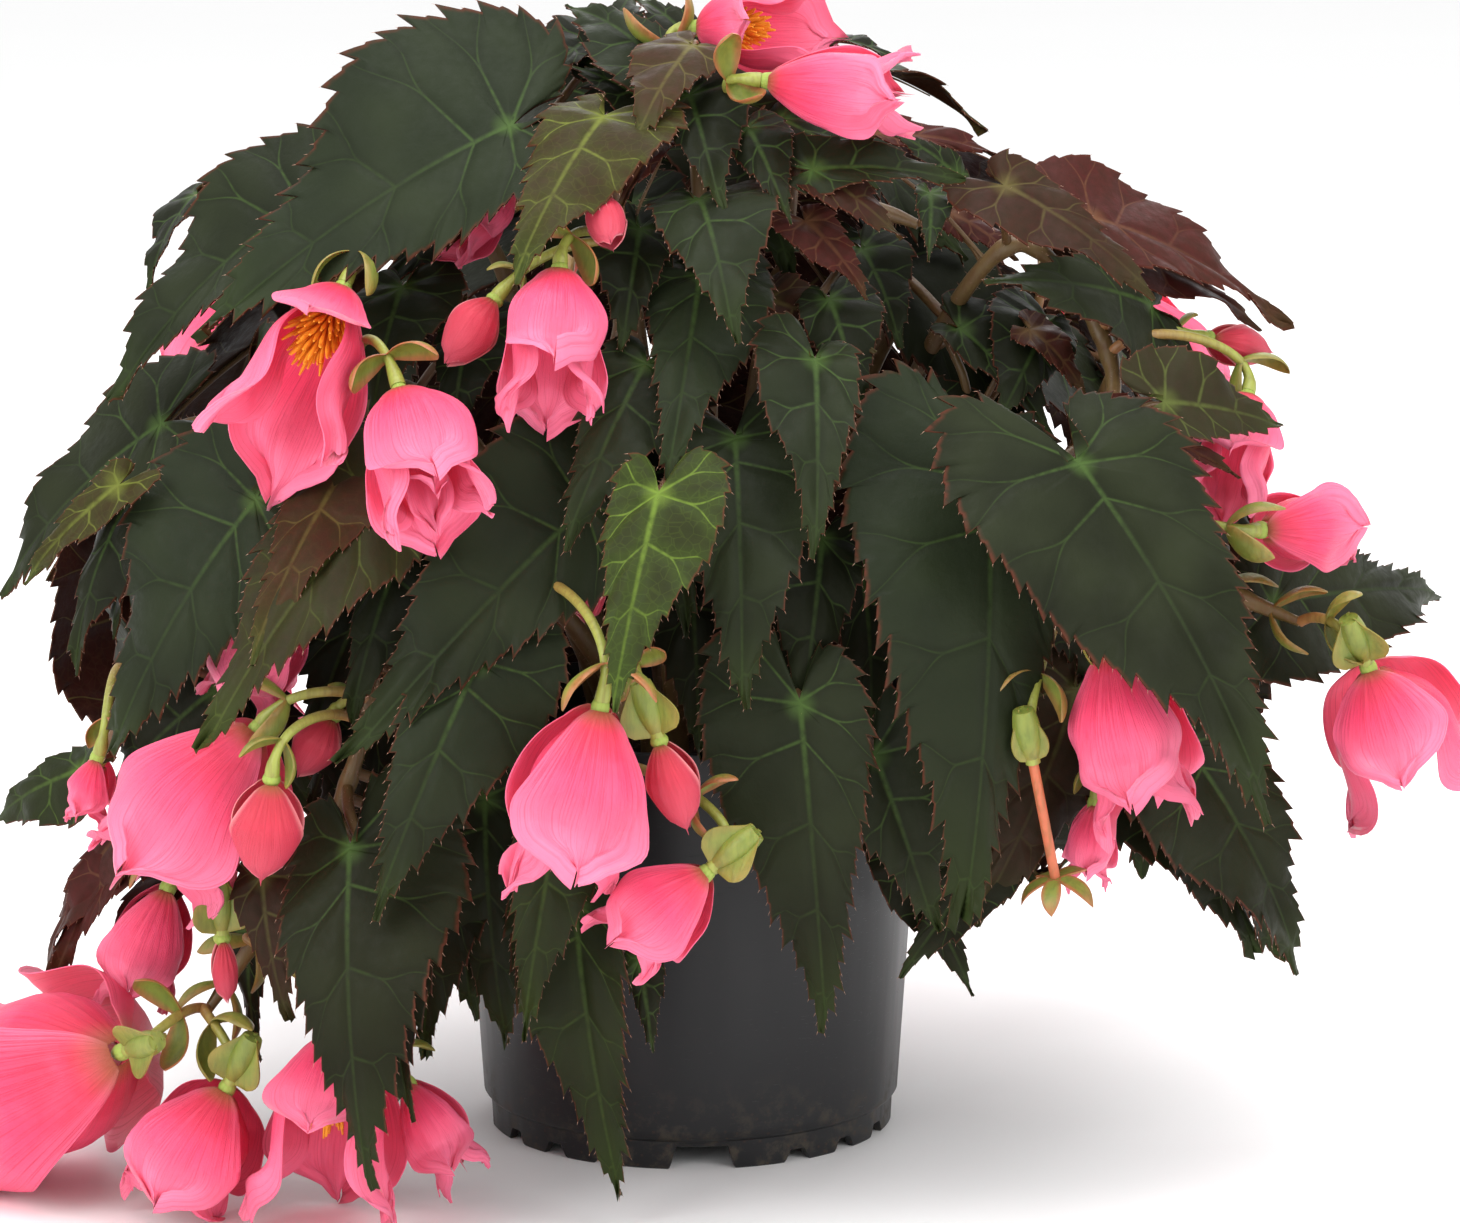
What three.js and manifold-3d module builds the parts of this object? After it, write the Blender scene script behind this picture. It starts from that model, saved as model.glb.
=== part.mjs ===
// A potted trailing begonia, in millimetres, +Z up. The origin is on the surface that the pot stands on,
// at the pot's axis, and the plant's front faces -Y.
// The pot is moulded plastic with a notched foot. It holds soil, and the leafy stems stand in plain holes
// in the soil. Each leafy stem is one body: stem, leaf stalks, toothed leaves, flower stalks and winged
// ovaries. Each bloom is a body of its own, which hangs 0.3 mm below its stalk.
import * as THREE from "three";
import { mergeVertices } from "three/addons/utils/BufferGeometryUtils.js";
import Module from "manifold-3d";

const wasm = await Module();
wasm.setup();

// ---------------------------------------------------------------- driving dimensions
const GAP = 0.3; // between pieces that touch
const POT = {
  height: 112,
  rimRadius: 65,
  rimHeight: 8,
  wall: 1.6,
  shoulderRadius: 61.4, // just under the rim
  beltRadius: 55.2, // just above the foot
  beltHeight: 8.6,
  footRadius: 53.6,
  footWall: 2.2,
  floorHeight: 7.2,
  sides: 28,
};
const NOTCH = { wide: 15, narrow: 5.4, wideHigh: 6, narrowHigh: 3.2, firstAngle: -86.4 };
const NOTCH_OFFSETS = [0, 28, 45.5, 63]; // degrees from each wide notch to the next ones
const DRAIN = { radius: 4.5, ring: 36, count: 4, sides: 8 };
const SOIL = { edge: 96, crown: 101, sides: 20 };
const STEM = {
  foot: 3.6,
  tip: 2.2,
  sunk: 22,
  behindLeaf: 15,
  joint: 1.7,
  jointGap: 5,
  stride: 60,
  evenings: 24,
};
const STALK = { leaf: 1.5, slim: 0.035, drop: 5, dropShare: 0.07, flower: 1.3, end: 2.2 };
const LEAF = { thick: 1, toothDeep: 0.03, perTooth: 26, bend: 34, fold: 12 };
const PETAL = { thick: 0.8, layerGap: 1.2, layerShrink: 0.26, cover: 2.7, wrap: 80 };
const HEART = { radius: 2.7, band: 2.1 }; // the knob that a bloom's petals grow from, in bands
const OVARY = { top: -14, low: -2, reach: 8, blunt: 0.4 };

// The plant is a dome of foliage round the pot. A spot on it is given as seen from the front, in pixels
// of a 1460 x 1223 view whose camera looks down by LOOK_DOWN, and by how far it stands out of the dome.
const VIEW = { wide: 1460, high: 1223, scale: 3.8, distance: 1400, lookDown: 10.5, aim: [10.5, 0, 136.5] };
const DOME = { x: 190, y: 130, z: 182, centre: 122, skirtTuck: 0.22 };

// ---------------------------------------------------------------- where things are
const radians = THREE.MathUtils.degToRad;
const tilt = radians(VIEW.lookDown);
const ahead = new THREE.Vector3(0, Math.cos(tilt), -Math.sin(tilt));
const upward = new THREE.Vector3(0, Math.sin(tilt), Math.cos(tilt));
const eye = new THREE.Vector3(...VIEW.aim).addScaledVector(ahead, -VIEW.distance);

// How far in front of the pot's axis the dome's surface is, at x across and z up.
function domeDepth(x, z) {
  const rise = z > DOME.centre ? (z - DOME.centre) / DOME.z : 0;
  const sink = z < DOME.centre ? (DOME.centre - z) / DOME.centre : 0;
  const left = 1 - (x / DOME.x) ** 2 - rise ** 2;
  return DOME.y * Math.sqrt(Math.max(left, 0)) * (1 - DOME.skirtTuck * sink);
}

// The point seen at a pixel, on the dome's surface and then `out` millimetres nearer.
function spot([px, py, out]) {
  const line = new THREE.Vector3((px - VIEW.wide / 2) / (VIEW.scale * VIEW.distance), 0, 0)
    .addScaledVector(upward, (VIEW.high / 2 - py) / (VIEW.scale * VIEW.distance))
    .add(ahead);
  let near = DOME.y;
  let point;
  for (let round = 0; round < 8; round++) {
    point = eye.clone().addScaledVector(line, (-near - eye.y) / line.y);
    near = (near + domeDepth(point.x, point.z) + out) / 2;
  }
  return point;
}

// The direction that the dome's surface faces at a point.
function outward(point) {
  const rise = Math.max(point.z - DOME.centre, 0) / DOME.z ** 2;
  return new THREE.Vector3(point.x / DOME.x ** 2, point.y / DOME.y ** 2, rise).normalize();
}

// A repeatable random number from -1 to 1 for the nth draw.
function draw(n) {
  const wave = Math.sin(n * 127.1 + 11.7) * 43758.5453;
  return 2 * (wave - Math.floor(wave)) - 1;
}

// ---------------------------------------------------------------- solids
function solid(points, triangles) {
  const vertProperties = new Float32Array(points.flat());
  const make = (tris) =>
    new wasm.Manifold(new wasm.Mesh({ numProp: 3, vertProperties, triVerts: new Uint32Array(tris.flat()) }));
  const made = make(triangles);
  return made.volume() > 0 ? made : make(triangles.map(([a, b, c]) => [a, c, b]));
}

function solidFrom(geometry) {
  const bare = geometry.index ? geometry.toNonIndexed() : geometry.clone();
  bare.deleteAttribute("normal");
  bare.deleteAttribute("uv");
  const merged = mergeVertices(bare, 1e-3);
  const mesh = new wasm.Mesh({
    numProp: 3,
    vertProperties: merged.attributes.position.array,
    triVerts: new Uint32Array(merged.index.array),
  });
  return new wasm.Manifold(mesh);
}

function join(solids) {
  return solids.reduce((whole, piece) => whole.add(piece));
}

// Keeps the body with the most volume, so that no loose scrap is left.
function mainBody(whole) {
  return whole.decompose().reduce((best, body) => (body.volume() > best.volume() ? body : best));
}

function meshOf(name, whole, material) {
  const made = whole.getMesh();
  const geometry = new THREE.BufferGeometry();
  geometry.setAttribute("position", new THREE.Float32BufferAttribute(Array.from(made.vertProperties), 3));
  geometry.setIndex(Array.from(made.triVerts));
  geometry.computeVertexNormals();
  const mesh = new THREE.Mesh(geometry, material);
  mesh.name = name;
  return mesh;
}

function flipped(triangles) {
  return triangles.map(([a, b, c]) => [a, c, b]);
}

// The four corners of a stalk's section, square to its way.
function square(centre, way, across, over, size) {
  const forth = way.clone().normalize();
  const right = across.clone().addScaledVector(forth, -across.dot(forth)).normalize();
  const up = right.clone().cross(forth);
  if (up.dot(over) < 0) up.negate();
  return [[-1, 1], [1, 1], [1, -1], [-1, -1]].map(([r, u]) =>
    centre.clone().addScaledVector(right, 0.8 * size * r).addScaledVector(up, 0.8 * size * u),
  );
}

// Triangles between two rings of four corners that run the same way round.
function sleeve(ring, next) {
  return ring.flatMap((a, k) => {
    const j = (k + 1) % 4;
    return [[a, next[j], next[k]], [a, ring[j], next[j]]];
  });
}

// Points along a smooth curve through the given ones.
function smooth(points, count) {
  return new THREE.CatmullRomCurve3(points, false, "catmullrom", 0.5).getPoints(count);
}

// ---------------------------------------------------------------- the leaf
// A blade's outline as fractions of its length from stalk to tip: along the midrib, then across it.
// One side has the large lobe that makes a begonia leaf lopsided.
const LARGE_SIDE = [
  [-0.02, 0.03], [-0.2, 0.07], [-0.28, 0.19], [-0.19, 0.32], [0.02, 0.38],
  [0.25, 0.335], [0.47, 0.22], [0.7, 0.11], [0.88, 0.045],
];
const SMALL_SIDE = [
  [-0.02, -0.03], [-0.13, -0.06], [-0.16, -0.15], [-0.04, -0.235], [0.16, -0.25],
  [0.4, -0.185], [0.66, -0.1], [0.87, -0.038],
];
const MIDRIB = [0.19, 0.4, 0.64, 0.85];

// One side's margin with its teeth, which lean towards the tip.
function margin(side, teeth, deep) {
  const curve = new THREE.SplineCurve(side.map(([s, t]) => new THREE.Vector2(s, t)));
  const across = Math.sign(side[3][1]);
  const edge = [];
  for (let k = 0; k <= 2 * teeth; k++) {
    const u = k / (2 * teeth);
    const [point, along] = [curve.getPoint(u), curve.getTangent(u)];
    const out = new THREE.Vector2(-along.y, along.x).multiplyScalar(across);
    const size = deep * THREE.MathUtils.smoothstep(u, 0.08, 0.3); // no teeth where the stalk comes in
    point.addScaledVector(out, k % 2 ? size : -0.4 * size).addScaledVector(along, k % 2 ? 0.7 * size : 0);
    edge.push(point);
  }
  return edge;
}

// Sets up a leaf's frame: chord from stalk to tip, the way its upper face looks, and its arc.
function leafFrame(row, number) {
  const { from, to, wide = 1, side = 1, bend = LEAF.bend } = row;
  const { roll = 8 * draw(number), fold = LEAF.fold * draw(number + 50) } = row;
  const [root, tip] = [from, to].map((p) => (p.isVector3 ? p : spot(p)));
  const chord = tip.clone().sub(root);
  const face = outward(root.clone().add(tip).multiplyScalar(0.5)).add(new THREE.Vector3(0, -0.12, 0.22));
  const along = chord.clone().normalize();
  face.addScaledVector(along, -face.dot(along)).normalize();
  face.applyAxisAngle(along, radians(roll));
  const arc = radians(bend);
  const length = (chord.length() * (arc / 2)) / Math.sin(arc / 2);
  const left = face.clone().cross(along);
  return { root, along, face, left, arc, length, wide, side, fold: radians(fold), number };
}

// The point of a leaf's middle surface at (s, t), both in fractions of its length, and its normal there.
function onLeaf(leaf, s, t) {
  const { root, along, face, left, arc, length } = leaf;
  const start = arc / 2;
  const now = start - arc * s;
  const [run, lift] = [(Math.sin(start) - Math.sin(now)) / arc, (Math.cos(now) - Math.cos(start)) / arc];
  const normal = face.clone().multiplyScalar(Math.cos(now)).addScaledVector(along, -Math.sin(now));
  const across = t * leaf.wide * leaf.side * length;
  const wave = 0.02 * Math.sin(9 * s + leaf.number) * Math.min(Math.abs(t) / 0.2, 1);
  const rise = Math.abs(across) * Math.tan(leaf.fold) + wave * length;
  const point = root.clone().addScaledVector(along, run * length).addScaledVector(face, lift * length);
  point.addScaledVector(left, across).addScaledVector(normal, rise);
  return { point, normal };
}

// Fills between the midrib and one margin with triangles, always joining the nearer pair.
function band(inner, outer, at) {
  const tris = [];
  let [i, k] = [0, 0];
  while (i < inner.length - 1 || k < outer.length - 1) {
    const innerNext = i < inner.length - 1 ? at(inner[i + 1])[0] : Infinity;
    const outerNext = k < outer.length - 1 ? at(outer[k + 1])[0] : Infinity;
    if (k < outer.length - 1 && (outerNext <= innerNext + 0.04 || i === inner.length - 1)) {
      tris.push([inner[i], outer[k + 1], outer[k]]);
      k++;
    } else {
      tris.push([inner[i], inner[i + 1], outer[k]]);
      i++;
    }
  }
  return tris;
}

// A leaf with its stalk, as a thin blade: upper face, lower face, toothed rim and a stalk of four sides.
// The stalk leaves between the two lobes, and is left open where it meets the stem.
function leafShell(leaf, joint) {
  const teeth = THREE.MathUtils.clamp(Math.round(leaf.length / LEAF.perTooth), 3, 6);
  const deep = LEAF.toothDeep * (1 + 6 / leaf.length) * (6 / teeth) ** 0.5;
  const midrib = teeth > 4 ? MIDRIB : MIDRIB.filter((_, k) => k % 2 === 0);
  const flat = midrib.map((s) => [s, 0]);
  const tip = flat.push([1, 0.02]) - 1;
  const inner = [...midrib.keys()];
  const [large, small] = [LARGE_SIDE, SMALL_SIDE].map((side) =>
    margin(side, teeth, deep).map((p) => flat.push([p.x, p.y]) - 1),
  );
  const at = (index) => flat[index];
  const upper = [
    [0, large[0], small[0]],
    ...band([...inner, tip], [...large, tip], at),
    ...flipped(band([...inner, tip], [...small, tip], at)),
  ].filter(([a, b, c]) => a !== b && b !== c && a !== c);
  const places = flat.map(([s, t]) => onLeaf(leaf, s, t));
  const faces = [0.5, -0.5].map((side) =>
    places.map(({ point, normal }) => point.clone().addScaledVector(normal, side * LEAF.thick)),
  );
  const below = flat.length;
  const lower = flipped(upper).map((triangle) => triangle.map((index) => index + below));
  const loop = [...large, tip, ...small.slice().reverse()];
  const rim = loop.slice(0, -1).flatMap((a, i) => {
    const b = loop[i + 1];
    return [[a, b, b + below], [a, b + below, a + below]];
  });
  const mouth = [small[0], large[0], large[0] + below, small[0] + below];
  const start = faces[0][small[0]].clone().add(faces[1][large[0]]).multiplyScalar(0.5);
  const { normal } = onLeaf(leaf, 0, 0);
  const forward = leaf.left.clone().cross(normal);
  const over = normal.clone().sub(forward);
  const drop = Math.max(STALK.drop, STALK.dropShare * leaf.length);
  const size = Math.min(STALK.leaf, STALK.slim * leaf.wide * leaf.length);
  const middle = start.clone().addScaledVector(normal, -drop).addScaledVector(forward, -size);
  const across = leaf.left.clone().multiplyScalar(leaf.side);
  const way = joint.clone().sub(start).addScaledVector(normal, -drop);
  const points = [...faces[0], ...faces[1], ...square(middle, way, across, over, size)];
  const next = [4, 3, 2, 1].map((back) => points.length - back);
  const shell = { points, tris: [...upper, ...lower, ...rim, ...sleeve(mouth, next)], ring: next };
  return leaf.side > 0 ? shell : { points, tris: flipped(shell.tris), ring: next.slice().reverse() };
}

// ---------------------------------------------------------------- the bloom
// A bloom's petals, layer by layer from the outside in. A petal is [quarter turn that it grows at, length,
// half width], the last two as fractions of the bloom's length. A layer lies inside the one before it.
const FORMS = {
  bell: { flare: 0, layers: [[[0, 0.8, 0.34], [2, 0.9, 0.34]], [[1, 1, 0.25], [3, 0.93, 0.25]]] },
  open: { flare: 0.75, layers: [[[0, 0.62, 0.28], [2, 1, 0.34]], [[1, 0.94, 0.3], [3, 0.9, 0.3]]] },
  full: {
    flare: 0.35,
    layers: [
      [[0, 0.86, 0.34], [2, 0.92, 0.34]],
      [[1, 1, 0.27], [3, 0.94, 0.27]],
      [[0, 0.86, 0.13], [2, 0.92, 0.13]],
    ],
  },
  bud: { flare: -0.5, layers: [[[0, 1, 0.42], [2, 0.97, 0.42]]] },
};
// Rows of points across a petal: how far along it, and how many points. The first row is on the heart.
const PETAL_ROWS = [
  [[0.34, 4], [0.74, 3], [1, 1]],
  [[0.42, 3], [0.78, 2], [1, 1]],
  [[0.6, 2], [1, 1]],
];

function bloomFrame(row, number) {
  const { from, to, form, wide = 0.7, spin = 14 * draw(number + 200) } = row;
  const [root, tip] = [from, to].map((p) => (p.isVector3 ? p : spot(p)));
  const chord = tip.clone().sub(root);
  const along = chord.clone().normalize();
  const front = new THREE.Vector3(0, -1, 0.15);
  front.addScaledVector(along, -front.dot(along)).normalize().applyAxisAngle(along, radians(spin));
  const length = chord.length();
  return { root, along, front, side: front.clone().cross(along), length, radius: (wide * length) / 2, form };
}

// The distance of a petal's midline from the bloom's axis, from 0 to about 1, at u along it.
function bulge(u, flare) {
  const swell = Math.sin((Math.min(u * 2.4, 1) * Math.PI) / 2);
  return swell * (1 - (0.42 - 0.3 * flare) * Math.max((u - 0.4) / 0.6, 0) ** 1.6) + 0.5 * flare * u ** 1.5;
}

function petalWidth(u) {
  return 1.79 * u ** 0.6 * (1 - u ** 2.4) ** 0.8;
}

function onPetal(bloom, layer, [quarter, long, half], u, v) {
  const { flare } = FORMS[bloom.form];
  const start = GAP + HEART.band * (layer + 0.5);
  const reach = (bloom.radius - layer * PETAL.layerGap) * (1 - PETAL.layerShrink * layer);
  const depth = start + (bloom.length * long - start) * u;
  const share = (depth - start) / (bloom.length - start);
  const far = HEART.radius * 0.7 + (reach - HEART.radius * 0.7) * bulge(share, flare);
  const curve = Math.max(far, 0.5 * reach) * (1 + 0.25 * Math.max(flare, 0));
  const across = v * half * petalWidth(u) * PETAL.cover * bloom.radius;
  const angle = THREE.MathUtils.clamp(across / curve, -radians(PETAL.wrap), radians(PETAL.wrap));
  const out = bloom.front.clone().applyAxisAngle(bloom.along, (quarter * Math.PI) / 2);
  const sideways = out.clone().cross(bloom.along);
  const point = bloom.root.clone().addScaledVector(bloom.along, depth);
  point.addScaledVector(out, far - curve * (1 - Math.cos(angle)));
  point.addScaledVector(sideways, curve * Math.sin(angle));
  const normal = out.multiplyScalar(Math.cos(angle)).addScaledVector(sideways, Math.sin(angle));
  return { point, normal };
}

// Triangles between two rows of points that run the same way.
function strip(low, high) {
  const tris = [];
  let [i, k] = [0, 0];
  while (i < low.length - 1 || k < high.length - 1) {
    const lowNext = i < low.length - 1 ? (i + 1) / (low.length - 1) : Infinity;
    const highNext = k < high.length - 1 ? (k + 1) / (high.length - 1) : Infinity;
    if (lowNext <= highNext) tris.push([low[i], high[k], low[++i]]);
    else tris.push([low[i], high[k], high[++k]]);
  }
  return tris;
}

// A whorl grows from a square heart: petals(layer, quarter) gives the rows of a blade that grows from
// that face of the heart, each row as pairs of an outer and an inner point, or nothing.
function whorl(frame, layers, petals) {
  const points = [];
  const tris = [];
  for (let ring = 0; ring <= layers; ring++)
    for (let corner = 0; corner < 4; corner++) {
      const out = frame.front.clone().applyAxisAngle(frame.along, radians(45 + 90 * corner));
      const centre = frame.root.clone().addScaledVector(frame.along, GAP + HEART.band * ring);
      points.push(centre.addScaledVector(out, HEART.radius).toArray());
    }
  for (let layer = 0; layer < layers; layer++)
    for (let quarter = 0; quarter < 4; quarter++) {
      const corners = [quarter, (quarter + 3) % 4].map((corner) => 4 * layer + corner);
      let [outer, inner] = [corners, corners.map((corner) => corner + 4)];
      const rows = petals(layer, quarter);
      if (!rows) tris.push([outer[0], inner[0], inner[1]], [outer[0], inner[1], outer[1]]);
      for (const row of rows ?? []) {
        const place = (face) => row.map((pair) => points.push(pair[face].toArray()) - 1);
        const [nextOuter, nextInner] = [0, 1].map(place);
        tris.push(...strip(outer, nextOuter), ...strip(inner, nextInner).map(([a, b, c]) => [a, c, b]));
        const [a, b, c, d] = [outer[0], inner[0], nextInner[0], nextOuter[0]];
        const [e, f, g, h] = [outer, nextOuter, nextInner, inner].map((list) => list.at(-1));
        tris.push([a, b, c], [a, c, d], [e, f, g], [e, g, h]);
        [outer, inner] = [nextOuter, nextInner];
      }
    }
  const last = 4 * layers;
  tris.push([3, 2, 1], [3, 1, 0], [last, last + 1, last + 2], [last, last + 2, last + 3]);
  return solid(points, tris);
}

function bloomSolid(bloom) {
  const { layers } = FORMS[bloom.form];
  return whorl(bloom, layers.length, (layer, quarter) => {
    const petal = layers[layer].find(([at]) => at === quarter);
    return petal && PETAL_ROWS[layer].map(([u, number]) =>
      Array.from({ length: number }, (_, k) => {
        const v = number === 1 ? 0 : (2 * k) / (number - 1) - 1;
        const { point, normal } = onPetal(bloom, layer, petal, u, v);
        return [0.5, -0.5].map((side) => point.clone().addScaledVector(normal, side * PETAL.thick));
      }),
    );
  });
}

// Stamens: pointed filaments in two rings round a heart of their own.
function stamens(bloom) {
  const frame = { ...bloom, root: bloom.root.clone().addScaledVector(bloom.along, 2 * HEART.band + GAP) };
  return whorl(frame, 2, (layer, quarter) => {
    const out = bloom.front.clone().applyAxisAngle(bloom.along, (quarter * Math.PI) / 2);
    const tip = frame.root.clone().addScaledVector(bloom.along, (0.24 + 0.08 * layer) * bloom.length);
    tip.addScaledVector(out, (0.12 - 0.05 * layer) * bloom.length);
    return [[[0.4, -0.4].map((side) => tip.clone().addScaledVector(out, side))]];
  });
}

// ---------------------------------------------------------------- flower stalk and ovary
// A flower's stalk, from its blunt end over the bloom to near the stem, where it is left open.
function flowerShell(bloom, joint) {
  const neck = bloom.root.clone().addScaledVector(bloom.along, -1);
  const reach = Math.min(joint.distanceTo(neck) * 0.4, 24);
  const away = outward(joint).add(new THREE.Vector3(0, 0, 0.6)).normalize();
  const leaving = joint.clone().addScaledVector(away, reach);
  const arriving = neck.clone().addScaledVector(bloom.along, -reach);
  const curve = new THREE.CubicBezierCurve3(neck, arriving, leaving, joint);
  const shares = [0, 0.4, 0.75];
  const [across, over] = [bloom.side.clone(), bloom.front.clone()];
  let way = bloom.along.clone().negate();
  const points = [];
  const tris = [];
  let ring;
  shares.forEach((share) => {
    const turn = new THREE.Quaternion().setFromUnitVectors(way, curve.getTangent(share));
    way = curve.getTangent(share);
    const centre = share ? curve.getPoint(share) : bloom.root;
    const [right, up] = [across, over].map((side) => side.applyQuaternion(turn));
    points.push(...square(centre, way, right, up, share ? STALK.flower : STALK.end));
    const next = [4, 3, 2, 1].map((back) => points.length - back);
    tris.push(...(ring ? sleeve(ring, next) : [[next[0], next[3], next[2]], [next[0], next[2], next[1]]]));
    ring = next;
  });
  return { points, tris, ring };
}

// Three thin green wings round the stalk's end, as rings of a three-pointed star with blunt points.
function ovary(bloom) {
  const { top, low, reach, blunt } = OVARY;
  const points = [];
  const tris = [];
  [[top, 0.4 * reach, 1.2], [low, reach, 1.6]].forEach(([depth, far, valley]) => {
    for (let k = 0; k < 3; k++) {
      const out = bloom.front.clone().applyAxisAngle(bloom.along, radians(120 * k + 60));
      const side = bloom.along.clone().cross(out);
      const hollow = bloom.front.clone().applyAxisAngle(bloom.along, radians(120 * k + 120));
      const centre = bloom.root.clone().addScaledVector(bloom.along, depth);
      points.push(centre.clone().addScaledVector(out, far).addScaledVector(side, -blunt).toArray());
      points.push(centre.clone().addScaledVector(out, far).addScaledVector(side, blunt).toArray());
      points.push(centre.clone().addScaledVector(hollow, valley).toArray());
    }
  });
  for (let k = 0; k < 9; k++) {
    const next = (k + 1) % 9;
    tris.push([k, next, next + 9], [k, next + 9, k + 9]);
  }
  for (const [first, flip] of [[0, true], [9, false]]) {
    const cap = [[0, 1, 2], [3, 4, 5], [6, 7, 8], [8, 0, 2], [2, 3, 5], [5, 6, 8], [2, 5, 8]];
    const faces = cap.map((face) => face.map((index) => first + index));
    tris.push(...faces.map(([a, b, c]) => (flip ? [a, c, b] : [a, b, c])));
  }
  return solid(points, tris);
}

// ---------------------------------------------------------------- the plant, stem by stem
// Leaves: from = where the stalk meets the blade, to = tip, both as [pixel x, pixel y, out of the dome].
// side 1 puts the large lobe on the left of the way from stalk to tip, and -1 on the right. The stem passes
// behind every leaf that isn't aside. A fused leaf is joined to the stem by a union.
const STEMS = [
  {
    name: "west",
    root: [-24, 2],
    leaves: [
      { from: [508, 127, 10], to: [195, 345, 22], wide: 1.1, side: -1, roll: 0, bend: 30, fold: 6 },
      { from: [300, 205, -6], to: [112, 405, 4], side: -1 },
      { from: [160, 425, -18], to: [0, 600, -6], side: -1, wide: 0.9 },
      { from: [118, 486, 15], to: [26, 584, 17], wide: 0.5, fold: 14 },
      { from: [80, 770, -18], to: [-8, 826, -8], wide: 0.8 },
    ],
    blooms: [
      { from: [345, 283, 18], to: [267, 455, 32], form: "open", wide: 0.66 },
      { from: [100, 752, 2], to: [84, 822, 4], form: "bell", wide: 0.6 },
    ],
  },
  {
    name: "west_front",
    root: [-18, -14],
    leaves: [
      { from: [402, 288, -14], to: [372, 425, -8], wide: 1.1 },
      { from: [255, 501, 2], to: [108, 768, 14], side: -1, bend: 40 },
      { from: [222, 600, -34], to: [150, 702, -30], wide: 1.1 },
      { from: [126, 828, -28], to: [43, 986, -15], wide: 0.6 },
    ],
    blooms: [
      { from: [398, 385, 22], to: [440, 525, 30], form: "full", wide: 0.8 },
      { from: [170, 882, -26], to: [128, 1003, -19], form: "bell", wide: 0.66 },
    ],
  },
  {
    name: "southwest",
    root: [-10, -20],
    leaves: [
      { from: [345, 470, -4], to: [249, 666, 24], wide: 0.7 },
      { from: [380, 503, 1], to: [203, 754, 30], side: -1, wide: 0.8, bend: 38 },
      { from: [350, 850, 10], to: [369, 1192, 40], wide: 0.85 },
      { from: [263, 876, 0], to: [290, 1023, 8], wide: 0.8 },
    ],
    tail: [[238, 965, -12], [208, 1010, -2]],
    blooms: [
      { from: [292, 590, -16], to: [232, 705, -12], form: "full" },
      { from: [262, 722, -4], to: [150, 880, 8], form: "full", wide: 0.8 },
      { from: [272, 775, 20], to: [262, 876, 22], form: "bud", wide: 0.75 },
      { from: [335, 712, -18], to: [300, 772, -14], form: "bud", wide: 0.75 },
      { from: [128, 1050, 26], to: [-40, 1102, 26], form: "full", wide: 0.64, ovary: true },
      { from: [230, 1082, 14], to: [166, 1208, 20], form: "bell", wide: 0.88, ovary: true },
      { from: [338, 1026, 6], to: [318, 1226, 20], form: "open", wide: 0.7 },
      { from: [404, 1078, -9], to: [466, 1180, -7], form: "bell", wide: 0.6 },
      { from: [222, 934, 4], to: [227, 998, 6], form: "bud", wide: 0.42, ovary: true },
    ],
  },
  {
    name: "centre_left",
    root: [-3, -26],
    leaves: [
      { from: [603, 118, 18], to: [512, 286, 28], wide: 0.9 },
      { from: [655, 150, 0], to: [617, 218, 4], wide: 0.5, fold: 24, aside: true },
      { from: [645, 365, -6], to: [563, 552, 8], wide: 0.85 },
      { from: [584, 508, -11], to: [341, 767, 12], wide: 0.8, side: -1 },
      { from: [478, 662, 4], to: [372, 920, 24], wide: 0.8 },
      { from: [485, 800, -26], to: [509, 1051, -22], wide: 0.8, side: -1 },
    ],
    blooms: [
      { from: [560, 264, 14], to: [548, 420, 16], form: "bell", wide: 0.72 },
      { from: [497, 297, 6], to: [448, 362, 8], form: "bud", wide: 0.7 },
      { from: [514, 188, -13], to: [438, 248, -4], form: "bell" },
      { from: [600, 196, 14], to: [612, 246, 16], form: "bud" },
      { from: [602, 700, 20], to: [556, 893, 22], form: "bell", wide: 0.72 },
      { from: [592, 562, -26], to: [586, 622, -24], form: "bud", wide: 0.6 },
    ],
  },
  {
    name: "centre",
    root: [5, -25],
    leaves: [
      { from: [700, 200, 4], to: [735, 346, 16], wide: 1.05, bend: 60 },
      { from: [700, 276, -16], to: [665, 491, 8], wide: 0.75, aside: true },
      { from: [735, 440, -8], to: [742, 712, 4], wide: 0.9, bend: 60 },
      { from: [658, 495, 16], to: [612, 713, 26], wide: 0.8, aside: true },
      { from: [562, 792, -2], to: [522, 1039, 8], wide: 0.6 },
      { from: [575, 905, -12], to: [622, 1201, 0], wide: 0.6, side: -1 },
      { from: [640, 960, -18], to: [653, 1054, -14], wide: 0.6 },
    ],
    blooms: [
      { from: [658, 737, 12], to: [688, 827, 14], form: "bud", wide: 0.6, ovary: true },
      { from: [712, 868, 14], to: [612, 950, 18], form: "full", wide: 0.8, ovary: true },
    ],
  },
  {
    name: "southeast",
    root: [13, -22],
    leaves: [
      { from: [768, 300, -29], to: [878, 352, -20], wide: 1.1, side: -1 },
      { from: [815, 362, -2], to: [815, 561, 12], wide: 0.75, side: -1 },
      { from: [800, 705, -8], to: [826, 1032, 2], wide: 0.75, side: -1 },
      { from: [875, 755, -16], to: [935, 930, -10] },
    ],
    blooms: [],
  },
  {
    name: "east_front",
    root: [20, -13],
    leaves: [
      { from: [1030, 330, -30], to: [1085, 395, -26] },
      { from: [988, 482, 0], to: [961, 937, 12], wide: 0.8, side: -1 },
      { from: [1075, 692, -32], to: [972, 926, -22], wide: 0.9 },
      { from: [1185, 745, -22], to: [1299, 973, -4], wide: 1.0, side: -1 },
    ],
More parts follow.
